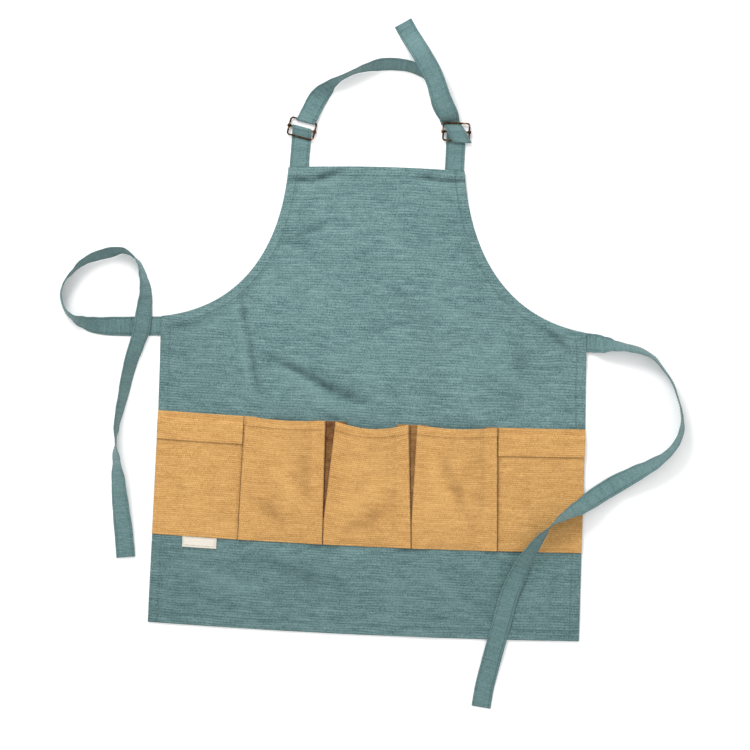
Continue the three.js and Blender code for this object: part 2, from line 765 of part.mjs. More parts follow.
function addNeckStrap() {
  const [left, right] = sliders;
  const leftPlace = sliderPlace(left);
  const rightPlace = sliderPlace(right);
  const leftHeights = sliderHeights(left);
  const rightHeights = sliderHeights(right);
  const half = sliderLength / 2;
  const leave = half + 3;
  const ringOuter = wireRadius + gap + strapWall;
  const onRing = ringOuter + gap + strapWall / 2;
  const layer = strapWall + gap;

  const lap = pathRoundBars([
    { v: half + lapLength, z: strapWall / 2, radius: 0, turn: 0 },
    { v: half, z: leftHeights.topBar, radius: barReach, turn: -1 },
    { v: leave, z: leftHeights.topBar + barReach - 0.3, radius: 0, turn: 0 },
  ]);
  const threading = pathRoundBars([
    { v: leave, z: strapWall / 2, radius: 0, turn: 0 },
    { v: half, z: rightHeights.topBar, radius: barReach + layer, turn: -1 },
    { v: 0, z: rightHeights.middle, radius: onRing, turn: 1 },
    { v: -half, z: rightHeights.lowBar, radius: barReach, turn: -1 },
    { v: 0, z: rightHeights.middle, radius: onRing + layer, turn: -1 },
    { v: half, z: rightHeights.topBar, radius: barReach, turn: 1 },
    { v: leave, z: strapWall / 2 + layer, radius: 0, turn: 0 },
  ]);

  const span = rightPlace.x - leftPlace.x;
  const place = (row) => new THREE.Vector3(
    leftPlace.x + row.across * span,
    lerp(leftPlace.y, rightPlace.y, row.across) + row.up * neckLoopRise,
    0,
  );
  const lapStations = sliderStations(left, lap, 0);
  const lapEnd = lapStations[lapStations.length - 1].middle;
  const down = 0.32;
  const rest = (x, y) => {
    const gone = Math.hypot(x - lapEnd.x, y - lapEnd.y) - strapWidth / 2;
    const lapTop = gone < lapLength ? layer : 0;
    const falling = lapEnd.z - strapWall / 2 - down * (gone + strapWidth / 2);
    return Math.max(lapTop, falling, 0);
  };
  const loop = laidStations(neckRoute, place, 46, strapWidth, strapWall, rest, 2);

  const threaded = sliderStations(right, threading, neckSkew);
  const tailStart = threaded[threaded.length - 1].middle;
  const tailShare = routeLength(tailRoute, (row) => new THREE.Vector3(row.across, row.along, 0));
  const tailPlace = (row) => new THREE.Vector3(
    tailStart.x + (row.across - tailRoute[0].across) * neckTailLength / tailShare - 0.8,
    tailStart.y + (row.along - tailRoute[0].along) * neckTailLength / tailShare + 4,
    0,
  );
  const loopTop = topOfStations(loop.slice(24), strapWidth, strapWall, 5);
  const tailRest = (x, y) => Math.max(loopTop(x, y), 0);
  const tail = laidStations(tailRoute, tailPlace, 30, strapWidth, strapWall, tailRest, 3);

  const stations = [...lapStations, ...loop, ...threaded, ...tail];
  orientAcross(stations);
  addMesh('neck_strap', ribbonGeometry(stations, strapWidth, strapWall), strapCloth);
}

// Keeps the direction across a strap on one side from station to station.
function orientAcross(stations) {
  for (let k = 1; k < stations.length; k++) {
    if (stations[k].across.dot(stations[k - 1].across) < 0) stations[k].across.negate();
  }
}

// Neck tab: a doubled strip under the bib's edge that ends in a loop round the sliding bar
function addTab(slider) {
  const place = sliderPlace(slider);
  const heights = sliderHeights(slider);
  const outer = wireRadius + gap + strapWall;
  const inner = wireRadius + gap;
  const start = -(tabLength + hemWidth - 1);
  const riseLow = -7;
  const riseHigh = -7.6;
  const shape = new THREE.Shape();
  shape.moveTo(start, 0);
  const strip = 5;
  for (let k = 1; k <= strip; k++) shape.lineTo(lerp(start, riseLow, k / strip), 0);
  const arcSteps = 12;
  for (let k = 0; k <= arcSteps; k++) {
    const angle = degToRad(lerp(250, 515, k / arcSteps));
    shape.lineTo(outer * Math.cos(angle), heights.middle + outer * Math.sin(angle));
  }
  for (let k = strip; k >= 0; k--) shape.lineTo(lerp(start, riseHigh, k / strip), tabWall);
  const hole = new THREE.Path();
  hole.absarc(0, heights.middle, inner, 0, 2 * Math.PI, true);
  shape.holes.push(hole);
  const geometry = new THREE.ExtrudeGeometry(shape, {
    depth: strapWidth,
    bevelEnabled: false,
    curveSegments: 6,
    steps: 1,
  });
  const position = geometry.getAttribute('position');
  const slope = Math.tan(degToRad(slider.turn));
  for (let k = 0; k < position.count; k++) {
    const along = position.getX(k);
    const height = position.getY(k);
    const across = strapWidth / 2 - position.getZ(k);
    const turned = smoothstep(along, start / 2, -sliderLength / 2);
    const leaned = slider.lean * smoothstep(along, start, 0);
    position.setXYZ(
      k,
      place.tabX + across + leaned,
      place.y + along + across * slope * turned,
      height,
    );
  }
  addMesh(`neck_tab_${slider.side}`, facingOut(geometry), strapCloth);
}

// The same closed shape with its faces pointing out, whichever way its outline was walked.
function facingOut(geometry) {
  const bare = geometry.clone();
  bare.deleteAttribute('normal');
  bare.deleteAttribute('uv');
  const merged = mergeVertices(bare, 1e-4);
  if (signedVolume(merged) > 0) return merged;
  const index = merged.getIndex();
  for (let k = 0; k < index.count; k += 3) {
    const second = index.getX(k + 1);
    index.setX(k + 1, index.getX(k + 2));
    index.setX(k + 2, second);
  }
  return merged;
}

function signedVolume(geometry) {
  const index = geometry.getIndex();
  const position = geometry.getAttribute('position');
  const corner = (k) => new THREE.Vector3().fromBufferAttribute(position, index.getX(k));
  let volume = 0;
  for (let k = 0; k < index.count; k += 3) {
    volume += corner(k).dot(corner(k + 1).cross(corner(k + 2))) / 6;
  }
  return volume;
}

// Slider frame: round wire bent to a rectangle with round corners
function frameGeometry() {
  const sides = 10;
  const cornerSteps = 4;
  const reachX = sliderWidth / 2 - sliderCorner;
  const reachY = sliderLength / 2 - sliderCorner;
  const path = [];
  for (const [cornerX, cornerY, start] of [[1, 1, 0], [-1, 1, 1], [-1, -1, 2], [1, -1, 3]]) {
    for (let k = 0; k <= cornerSteps; k++) {
      const angle = (start + k / cornerSteps) * Math.PI / 2;
      path.push({
        x: cornerX * reachX + sliderCorner * Math.cos(angle),
        y: cornerY * reachY + sliderCorner * Math.sin(angle),
        angle,
      });
    }
  }
  const sections = path.map((at) => {
    const ring = [];
    for (let k = 0; k < sides; k++) {
      const round = 2 * Math.PI * k / sides;
      const outward = wireRadius * Math.cos(round);
      ring.push(new THREE.Vector3(
        at.x + outward * Math.cos(at.angle),
        at.y + outward * Math.sin(at.angle),
        wireRadius * Math.sin(round),
      ));
    }
    return ring.reverse();
  });
  return facingOut(loftGeometry(sections, null));
}

function toSolid(geometry) {
  const bare = geometry.clone();
  bare.deleteAttribute('normal');
  bare.deleteAttribute('uv');
  const merged = mergeVertices(bare, 1e-4);
  return new wasm.Manifold(new wasm.Mesh({
    numProp: 3,
    vertProperties: new Float32Array(merged.getAttribute('position').array),
    triVerts: new Uint32Array(merged.getIndex().array),
  }));
}

function fromSolid(solid) {
  const mesh = solid.getMesh();
  return geometryFrom(Array.from(mesh.vertProperties), Array.from(mesh.triVerts));
}

// Sliding bar: a round bar with a collar on each rail of the frame
function barGeometry() {
  const rail = sliderWidth / 2;
  const bore = wireRadius + gap;
  const outer = bore + collarWall;
  const bar = new THREE.CylinderGeometry(wireRadius, wireRadius, 2 * (rail - bore - collarWall / 2), 12);
  bar.rotateZ(Math.PI / 2);
  let solid = toSolid(bar);
  for (const sign of [-1, 1]) {
    const profile = [
      new THREE.Vector2(bore, -collarLength / 2),
      new THREE.Vector2(outer, -collarLength / 2),
      new THREE.Vector2(outer, collarLength / 2),
      new THREE.Vector2(bore, collarLength / 2),
      new THREE.Vector2(bore, -collarLength / 2),
    ];
    const collar = new THREE.LatheGeometry(profile, 14);
    collar.translate(sign * rail, 0, 0);
    solid = solid.add(toSolid(collar));
  }
  return fromSolid(solid);
}

function addSlider(slider) {
  const place = sliderPlace(slider);
  const heights = sliderHeights(slider);
  const turned = new THREE.Group();
  turned.position.set(place.x, place.y, heights.middle);
  turned.rotation.z = degToRad(slider.turn);
  const tilted = new THREE.Group();
  tilted.rotation.x = Math.asin((heights.topBar - heights.lowBar) / sliderLength);
  turned.add(tilted);
  apron.add(turned);
  addMesh(`slider_${slider.side}_frame`, frameGeometry(), agedBrass, tilted);
  addMesh(`slider_${slider.side}_bar`, barGeometry(), agedBrass, tilted);
}

buildBody();
addSidePocket('pocket_1', 1);
bellows.forEach((row, k) => addBellowsPocket(row, k + 2));
addSidePocket('pocket_5', pocketCount);
addFlap('flap_left', 1, 0.5);
addFlap('flap_right', pocketCount, 2.5);
addLabel();
for (const slider of sliders) {
  addTab(slider);
  addSlider(slider);
}
addNeckStrap();
addTie('waist_tie_left', leftTieRoute, -1, leftTieLength);
addTie('waist_tie_right', rightTieRoute, 1, rightTieLength);

export default apron;
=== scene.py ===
"""Dresses a child's gardening apron that lies flat on a pale floor with its ties spread out.

Lengths are in millimetres until a mesh is made. X runs across the apron, Y from the hem to the
neck and Z up from the floor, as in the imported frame.
"""

import logging
from dataclasses import dataclass, field
from enum import Enum
from functools import reduce
from typing import Callable, Mapping, Sequence, Union

import bpy
import numpy as np
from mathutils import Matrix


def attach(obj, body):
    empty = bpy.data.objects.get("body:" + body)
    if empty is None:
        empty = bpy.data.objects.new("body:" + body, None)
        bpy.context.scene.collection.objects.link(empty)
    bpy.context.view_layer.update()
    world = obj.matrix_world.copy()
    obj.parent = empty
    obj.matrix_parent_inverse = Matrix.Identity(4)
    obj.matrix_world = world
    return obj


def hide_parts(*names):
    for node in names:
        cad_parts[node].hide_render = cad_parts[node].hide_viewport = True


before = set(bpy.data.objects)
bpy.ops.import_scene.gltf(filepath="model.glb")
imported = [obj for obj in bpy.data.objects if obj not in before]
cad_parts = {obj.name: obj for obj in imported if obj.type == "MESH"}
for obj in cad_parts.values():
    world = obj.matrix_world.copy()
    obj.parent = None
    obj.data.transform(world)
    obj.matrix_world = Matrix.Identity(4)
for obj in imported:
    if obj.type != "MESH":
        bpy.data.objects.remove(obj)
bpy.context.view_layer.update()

MM = 0.001

# Millimetres: between pieces that touch, and over the floor
GAP = 0.3
FLOOR_GAP = 0.03

# Where the grid lines next to a cloth's edge lie. Even ones start at the last of them.
NEAR_EDGE = (0.0, 0.15, 0.45, 0.9, 1.8)

# Sewing: from stitch to stitch, half the thread, and from an edge to its stitch line
STITCH_PITCH = 3.0
THREAD_RADIUS = 0.24
POCKET_HEM = 10.0
POCKET_FOOT = 2.6
STRAP_SEAM = 2.2
STRAP_WIDTH = 20.0
TIP_BARS = (3.2, 9.0)

ROUTE_TIMES = 1201
UP = np.array([0.0, 0.0, 1.0])
Array = np.ndarray

# Gives the height of what is under a strap, from x, y and the share of the strap's length
Rest = Callable[[Array, Array, Array], Array]
LOG = logging.getLogger("apron")


class Slot(Enum):
    """The finishes that the record names for the apron's parts."""

    BODY = "body_cloth"
    POCKET = "pocket_cloth"
    LABEL = "label_cloth"
    STRAP = "strap_cloth"
    BRASS = "slider_brass"


class Side(Enum):
    """The two sides of the apron, with the sign of X on each."""

    LEFT = -1
    RIGHT = 1


# Curves and fields


def smoothstep(value: Array, low: float, high: float) -> Array:
    """Rises from 0 at low to 1 at high as 3t squared less 2t cubed."""
    share = np.clip((value - low) / (high - low), 0, 1)
    return share * share * (3 - 2 * share)


def lerp(first: Array, second: Array, share: Array) -> Array:
    """Goes straight from first to second as share goes from 0 to 1."""
    return first + (second - first) * share


def unit(vectors: Array) -> Array:
    """The same vectors with a length of one."""
    return vectors / np.maximum(np.linalg.norm(vectors, axis=-1, keepdims=True), 1e-9)


def run_length(points: Array) -> Array:
    """The length along a row of points, from the first to each of them."""
    steps = np.linalg.norm(np.diff(points, axis=0), axis=1)
    return np.concatenate([[0.0], np.cumsum(steps)])


def sampled(values: Array, run: Array, at: Array) -> Array:
    """The rows of values at lengths along their run, with straight steps between them."""
    return np.stack([np.interp(at, run, column) for column in values.T], -1)


def bell_weights(reach: int, width: float) -> Array:
    """Weights that fall off as the bell curve of the distance over the width, with a sum of one."""
    weights = np.exp(-((np.arange(-reach, reach + 1) / width) ** 2))
    return weights / weights.sum()


def evened(values: Array, weights: Array) -> Array:
    """Evens out rows of values.

    Args:
        values: the rows.
        weights: an odd number of weights, the middle one for the row itself.

    Returns:
        Each row's weighted mean with those around it.
    """
    reach = len(weights) // 2
    padded = np.pad(values, ((reach, reach), (0, 0)), mode="edge")
    return np.stack([np.convolve(column, weights, "valid") for column in padded.T], -1)


def edge_grid(length: float, count: int, near: Sequence[float] = NEAR_EDGE) -> Array:
    """Places from 0 to a length, closer together next to both ends.

    Args:
        length: the whole length.
        count: the number of even places between the close ones.
        near: the close places, and last the first even one.
    """
    close = np.array(near[:-1])
    even = np.linspace(near[-1], length - near[-1], count)
    return np.concatenate([close, even, length - close[::-1]])


def centripetal(points: Array, times: Array) -> Array:
    """Places on a smooth curve through a row of points.

    Between two points the curve is the cubic whose end slopes come from the neighbours, with each
    span timed by the square root of its length.

    Args:
        points: the points that the curve passes through, one a row.
        times: shares of the row, from 0 at the first point to 1 at the last.
    """
    padded = np.vstack([2 * points[0] - points[1], points, 2 * points[-1] - points[-2]])
    position = times * (len(points) - 1)
    span = np.minimum(position.astype(int), len(points) - 2)
    w = (position - span)[:, None]
    p0, p1, p2, p3 = (padded[span + k] for k in range(4))
    d0, d1, d2 = (
        np.sqrt(np.maximum(np.linalg.norm(b - a, axis=1), 1e-4))[:, None]
        for a, b in ((p0, p1), (p1, p2), (p2, p3))
    )
    m1 = d1 * ((p1 - p0) / d0 - (p2 - p0) / (d0 + d1) + (p2 - p1) / d1)
    m2 = d1 * ((p2 - p1) / d1 - (p3 - p1) / (d1 + d2) + (p3 - p2) / d2)
    square = 3 * (p2 - p1) - 2 * m1 - m2
    cube = 2 * (p1 - p2) + m1 + m2
    return p1 + m1 * w + square * w**2 + cube * w**3


def ripple(x: Array, y: Array, wavelength: float, seed: int) -> Array:
    """A soft uneven wave field: the mean of nine cosines that run in chance directions.

    Args:
        x: places across, in any shape.
        y: places along, in the same shape.
        wavelength: the middle one of the wavelengths, in millimetres.
        seed: the start of the chance numbers.
    """
    chance = np.random.default_rng(seed)
    angle = chance.uniform(0, np.pi, 9)
    phase = chance.uniform(0, 2 * np.pi, 9)
    wave = 2 * np.pi / (wavelength * chance.uniform(0.65, 1.5, 9))
    along = x[..., None] * np.cos(angle) + y[..., None] * np.sin(angle)
    return np.cos(along * wave + phase).mean(axis=-1) * 1.8


def crease_field(x: Array, y: Array, creases: Sequence[tuple]) -> Array:
    """Ridges and grooves along short lines.

    Each row gives a line's two ends, its width and its height. The height falls off as the bell
    curve of the distance from the line over the width.

    Args:
        x: places across.
        y: places along.
        creases: rows of x0, y0, x1, y1, width and height.

    Returns:
        The sum of all the lines' heights.
    """
    height = np.zeros_like(x)
    for x0, y0, x1, y1, width, rise in creases:
        run = np.array([x1 - x0, y1 - y0])
        share = np.clip(((x - x0) * run[0] + (y - y0) * run[1]) / (run @ run), 0, 1)
        away = np.hypot(x - x0 - share * run[0], y - y0 - share * run[1])
        fade = 0.35 + 0.65 * np.sin(np.pi * np.clip(share, 0.08, 0.92))
        height += rise * fade * np.exp(-((away / width) ** 2))
    return height


# Meshes


@dataclass
class Surface:
    """The points, faces and maps of a mesh, in millimetres."""

    points: Array
    faces: list[Array]
    maps: dict[str, Array] = field(default_factory=dict)
    shades: dict[str, Array] = field(default_factory=dict)

    def signed_volume(self) -> float:
        """The volume inside the faces, below 0 where they point inwards."""
        total = 0.0
        for block in self.faces:
            for k in range(1, block.shape[1] - 1):
                a, b, c = (self.points[block[:, j]] for j in (0, k, k + 1))
                total += float(np.einsum("ij,ij->", a, np.cross(b, c)))
        return total / 6

    def outward(self) -> "Surface":
        """The same surface with its faces pointing out."""
        if self.signed_volume() < 0:
            self.faces = [block[:, ::-1] for block in self.faces]
        return self

    def joined(self, other: "Surface") -> "Surface":
        """This surface and another one as one mesh. Maps that both have are kept.

        Args:
            other: the other one.
        """
        start = len(self.points)
        faces = self.faces + [block + start for block in other.faces]
        maps = {k: np.vstack([v, other.maps[k]]) for k, v in self.maps.items() if k in other.maps}
        return Surface(np.vstack([self.points, other.points]), faces, maps)


def shell(low: Array, high: Array, maps: dict, shades: dict | None = None) -> Surface:
    """A closed sheet between two grids of points.

    The two grids have the same rows and columns. Each is covered with quads, the low one facing
    the other way, and a strip of quads joins them round the rim.

    Args:
        low: the underside, as rows, columns and coordinates.
        high: the upper side, in the same shape.
        maps: flat coordinates for the grid, as rows, columns and two values, by name.
        shades: single values for the grid by name.
    """
    rows, columns = low.shape[:2]
    count = rows * columns
    index = np.arange(count).reshape(rows, columns)
    a, b, c, d = index[:-1, :-1], index[:-1, 1:], index[1:, 1:], index[1:, :-1]
    top = np.stack([a, b, c, d], -1).reshape(-1, 4) + count
    under = np.stack([a, d, c, b], -1).reshape(-1, 4)
    rim = np.concatenate([index[0], index[1:, -1], index[-1, -2::-1], index[-2:0:-1, 0]])
    after = np.roll(rim, -1)
    side = np.stack([rim, after, after + count, rim + count], -1)
    points = np.concatenate([low.reshape(-1, 3), high.reshape(-1, 3)])
    both = {k: np.tile(v.reshape(-1, 2), (2, 1)) for k, v in maps.items()}
    single = {k: np.tile(v.reshape(-1), 2) for k, v in (shades or {}).items()}
    return Surface(points, [np.concatenate([top, under, side])], both, single).outward()


def rounding(inward: Array, radius: float) -> Array:
    """The share of a cloth's thickness near its folded edge, as a quarter circle of that radius."""
    share = np.clip(inward / radius, 0, 1)
    return np.maximum(np.sqrt(1 - (1 - share) ** 2), 0.12)


def joined_all(surfaces: Sequence[Surface]) -> Surface:
    """Several surfaces as one mesh."""
    return reduce(Surface.joined, surfaces)


def ring_faces(count: int, sides: int, closed: bool) -> list[Array]:
    """The faces over a row of rings of points.

    Args:
        count: the number of rings.
        sides: the number of points in each.
        closed: whether the last ring meets the first. Otherwise both ends are filled.
    """
    index = np.arange(count * sides).reshape(count, sides)
    around = np.roll(index, -1, 1)
    if closed:
        quads = np.stack([index, around, np.roll(around, -1, 0), np.roll(index, -1, 0)], -1)
        return [quads.reshape(-1, 4)]
    quads = np.stack([index[:-1], around[:-1], around[1:], index[1:]], -1)
    return [quads.reshape(-1, 4), np.stack([index[0, ::-1], index[-1]])]


def tube(path: Array, radius: float, outward: Array, sides: int, closed: bool) -> Surface:
    """A round wire along a path.

    A circle is carried along the path, in the plane of outward and the path's side.

    Args:
        path: the middle of the wire.
        radius: half the wire's thickness.
        outward: one direction square to the path at each of its points.
        sides: the number of faces round the wire.
        closed: whether the path's end meets its start.
    """
    if closed:
        along = unit(np.roll(path, -1, 0) - np.roll(path, 1, 0))
    else:
        along = unit(np.gradient(path, axis=0))
    third = np.cross(along, outward)
    angle = np.linspace(0, 2 * np.pi, sides, endpoint=False)
    ring = np.cos(angle)[:, None] * outward[:, None] + np.sin(angle)[:, None] * third[:, None]
    points = path[:, None] + radius * ring
    return Surface(points.reshape(-1, 3), ring_faces(len(path), sides, closed)).outward()


def stitches(path: Array, normal: Array) -> Surface:
    """A row of sewn stitches along a path.

    Each stitch is a short rod of five-sided rings whose two ends dip into the cloth: its height
    over the path is 0.8 of the thread's radius, less twice the radius times the fourth power of
    the share of its half length.

    Args:
        path: the points of the seam on the cloth.
        normal: the direction out of the cloth at each point.
    """
    run = run_length(path)
    count = max(1, int(run[-1] / STITCH_PITCH))
    middle = (np.arange(count) + 0.5) * run[-1] / count
    near = 0.3 * STITCH_PITCH
    along = unit(sampled(path, run, middle + near) - sampled(path, run, middle - near))
    out = unit(sampled(normal, run, middle))
    side = unit(np.cross(out, along))
    out = np.cross(along, side)
    place = sampled(path, run, middle)
    share = np.array([-1.0, -0.7, 0.0, 0.7, 1.0])
    thick = THREAD_RADIUS * np.array([0.4, 0.85, 1.0, 0.85, 0.4])
    lift = THREAD_RADIUS * (0.8 - 2.0 * share**4)
    half_length = 0.37 * STITCH_PITCH
    sides = 5
    angle = np.linspace(0, 2 * np.pi, sides, endpoint=False)
    local = np.stack(
        [
            np.repeat(share[:, None] * half_length, sides, 1),
            thick[:, None] * np.cos(angle),
            lift[:, None] + thick[:, None] * np.sin(angle),
        ],
        -1,
    ).reshape(-1, 3)
    points = place[:, None] + local[None] @ np.stack([along, side, out], 1)
    starts = (np.arange(count) * len(local))[:, None, None]
    blocks = ring_faces(len(share), sides, False)
    faces = [(block[None] + starts).reshape(-1, block.shape[1]) for block in blocks]
    return Surface(points.reshape(-1, 3), faces).outward()


def stitched_through(top: Array, under: Array, normal: Array) -> Surface:
    """A row of stitches on the top of a cloth and one on its underside."""
    return stitches(top, normal).joined(stitches(under, -normal))


def make_piece(
    name: str, surface: Surface, finish: "Finish", nodes: Sequence[str] = ()
) -> bpy.types.Object:
    """Makes a piece of the apron from a surface, finishes it and ties it to the frame.

    Args:
        name: the piece's name.
        surface: its points, faces and maps.
        finish: what its surface looks like.
        nodes: the nodes of the frame that it stands for.

    Returns:
        The new object.
    """
    mesh = bpy.data.meshes.new(name)
    faces = [row for block in surface.faces for row in block.tolist()]
    mesh.from_pydata((surface.points * MM).tolist(), [], faces)
    corner = np.empty(len(mesh.loops), np.int32)
    mesh.loops.foreach_get("vertex_index", corner)
    for key, values in surface.maps.items():
        layer = mesh.uv_layers.new(name=key)
        layer.data.foreach_set("uv", (values * MM)[corner].astype(np.float32).ravel())
    for key, values in surface.shades.items():
        attribute = mesh.attributes.new(key, "FLOAT", "POINT")
        attribute.data.foreach_set("value", values.astype(np.float32))
    mesh.polygons.foreach_set("use_smooth", np.ones(len(mesh.polygons), bool))
    mesh.materials.append(finish.material())
    piece = bpy.data.objects.new(name, mesh)
    bpy.context.scene.collection.objects.link(piece)
    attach(piece, "root")
    if nodes:
        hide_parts(*nodes)
    LOG.info("%s: %d points", name, len(surface.points))
    return piece


# Finishes


def linear(red: float, green: float, blue: float) -> tuple:
    """A colour given in display values of 0 to 255, as linear light with full cover."""
    share = np.array([red, green, blue]) / 255
    light = np.where(share <= 0.04045, share / 12.92, ((share + 0.055) / 1.055) ** 2.4)
    return (*light.tolist(), 1.0)


Socket = bpy.types.NodeSocket
Source = Union[Socket, float, tuple]
Sockets = Mapping[str, Socket]


class Sketch:
    """Makes nodes in one node tree and links them."""

    def __init__(self, tree: bpy.types.NodeTree) -> None:
        """Starts on a tree."""
        self.tree = tree

    def node(self, kind: str, **settings: object) -> bpy.types.Node:
        """Makes a node.

        Args:
            kind: the type of node.
            settings: its settings by name.

        Returns:
            The new node.
        """
        made = self.tree.nodes.new(kind)
        for key, value in settings.items():
            setattr(made, key, value)
        return made

    def feed(self, socket: Socket, source: Source) -> None:
        """Links a socket to another one, or gives it a value.

        Args:
            socket: the socket that takes it in.
            source: the other socket, or the value.
        """
        if isinstance(source, Socket):
            self.tree.links.new(source, socket)
        else:
            socket.default_value = source

    def feed_all(self, sockets: Sequence[Socket], sources: Sequence[Source]) -> None:
        """Feeds several sockets, each from its own source."""
        for socket, source in zip(sockets, sources):
            self.feed(socket, source)

    def math(self, operation: str, *sources: Source, clamp: bool = False) -> Socket:
        """Works out one sum.

        Args:
            operation: the kind of sum.
            sources: what goes into it.
            clamp: whether the result is kept from 0 to 1.

        Returns:
            The result.
        """
        made = self.node("ShaderNodeMath", operation=operation, use_clamp=clamp)
        self.feed_all(made.inputs, sources)
        return made.outputs[0]

    def scaled(self, value: Source, factor: Source, clamp: bool = False) -> Socket:
        """A value times a factor."""
        return self.math("MULTIPLY", value, factor, clamp=clamp)

    def summed(self, value: Source, factor: Source, rest: Source) -> Socket:
        """A value times a factor, and the rest added."""
        return self.math("MULTIPLY_ADD", value, factor, rest)

    def arches(self, value: Source) -> Socket:
        """Round arches of height 1, one for each whole step of a value."""
        return self.math("ABSOLUTE", self.math("SINE", self.scaled(value, np.pi)))

    def rest(self, value: Source) -> Socket:
        """What is left of 1."""
        return self.math("SUBTRACT", 1.0, value)

    def blend(self, share: Source, first: Source, second: Source) -> Socket:
        """Blends two colours.

        Args:
            share: how much of the second there is.
            first: the first colour.
            second: the second colour.

        Returns:
            The colour between them.
        """
        made = self.node("ShaderNodeMix", data_type="RGBA", blend_type="MIX")
        self.feed_all((made.inputs[0], made.inputs[6], made.inputs[7]), (share, first, second))
        return made.outputs[2]

    def noise(self, vector: Source, scale: float, detail: float = 2.0) -> Socket:
        """Makes soft chance values.

        Args:
            vector: where they are looked up.
            scale: how many swings there are to a unit.
            detail: how many finer layers lie on top.

        Returns:
            Values of 0 to 1.
        """
        made = self.node("ShaderNodeTexNoise")
        self.feed(made.inputs["Vector"], vector)
        made.inputs["Scale"].default_value = scale
        made.inputs["Detail"].default_value = detail
        return made.outputs["Fac"]

    def parts(self, vector: Source) -> tuple:
        """The three parts of a vector."""
        made = self.node("ShaderNodeSeparateXYZ")
        self.feed(made.inputs[0], vector)
        return tuple(made.outputs)

    def vector(self, x: Source, y: Source, z: Source = 0.0) -> Socket:
        """A vector from three parts."""
        made = self.node("ShaderNodeCombineXYZ")
        self.feed_all(made.inputs, (x, y, z))
        return made.outputs[0]

    def stretched(
        self, x: Source, y: Source, scales: tuple, z: float = 0.0
    ) -> Socket:
        """A vector from two places, each times its own scale, and a fixed third part."""
        return self.vector(self.scaled(x, scales[0]), self.scaled(y, scales[1]), z)

    def ramp(self, value: Source, low: float, high: float) -> Socket:
        """Makes a smooth rise.

        Args:
            value: what it follows.
            low: where it is still 0.
            high: where it reaches 1.

        Returns:
            Values of 0 to 1.
        """
        made = self.node("ShaderNodeMapRange", interpolation_type="SMOOTHSTEP")
        self.feed(made.inputs["Value"], value)
        made.inputs["From Min"].default_value = low
        made.inputs["From Max"].default_value = high
        return made.outputs["Result"]

    def place(self) -> Socket:
        """The place on the object, in metres."""
        return self.node("ShaderNodeTexCoord").outputs["Object"]

    def flat(self, name: str) -> Socket:
        """The flat coordinates of the map with that name."""
        return self.node("ShaderNodeUVMap", uv_map=name).outputs[0]

    def share(self, name: str) -> Socket:
        """The mesh's single values with that name."""
        return self.node("ShaderNodeAttribute", attribute_name=name).outputs["Fac"]

    def bump(self, shader: bpy.types.Node, height: Source, depth: float) -> None:
        """Raises a surface.

        Args:
            shader: what draws the surface.
            height: how high it stands, as a share of the depth.
            depth: the depth in metres.
        """
        made = self.node("ShaderNodeBump")
        made.inputs["Distance"].default_value = depth
        self.feed(made.inputs["Height"], height)
        self.feed(shader.inputs["Normal"], made.outputs[0])


class Effect:
    """A group of nodes that several finishes share. It is built once."""

    name = "effect"
    inputs: tuple = ()
    outputs: tuple = ()

    @classmethod
    def tree(cls) -> bpy.types.NodeTree:
        """The group's node tree, made when it is first asked for."""
        made = bpy.data.node_groups.get(cls.name)
        if made:
            return made
        made = bpy.data.node_groups.new(cls.name, "ShaderNodeTree")
        for label, kind in cls.inputs:
            made.interface.new_socket(label, in_out="INPUT", socket_type=kind)
        for label in cls.outputs:
            made.interface.new_socket(label, in_out="OUTPUT", socket_type="NodeSocketFloat")
        sketch = Sketch(made)
        given = sketch.node("NodeGroupInput").outputs
        results = cls.draw(sketch, given)
        put = sketch.node("NodeGroupOutput")
        for label, result in zip(cls.outputs, results):
            sketch.feed(put.inputs[label], result)
        return made

    @classmethod
    def draw(cls, sketch: Sketch, given: Sockets) -> tuple:
        """Builds the nodes between the inputs and the outputs.

        Args:
            sketch: makes the nodes.
            given: the inputs by name.

        Returns:
            What feeds each output.
        """
        raise NotImplementedError

    @classmethod
    def place(cls, sketch: Sketch, **sources: Source) -> Sockets:
        """Places the group in a material.

        Args:
            sketch: makes the nodes.
            sources: what feeds each input, with a low line for a space in its name.
        """
        node = sketch.node("ShaderNodeGroup")
        node.node_tree = cls.tree()
        for label, source in sources.items():
            sketch.feed(node.inputs[label.replace("_", " ")], source)
        return {label: node.outputs[label] for label in cls.outputs}


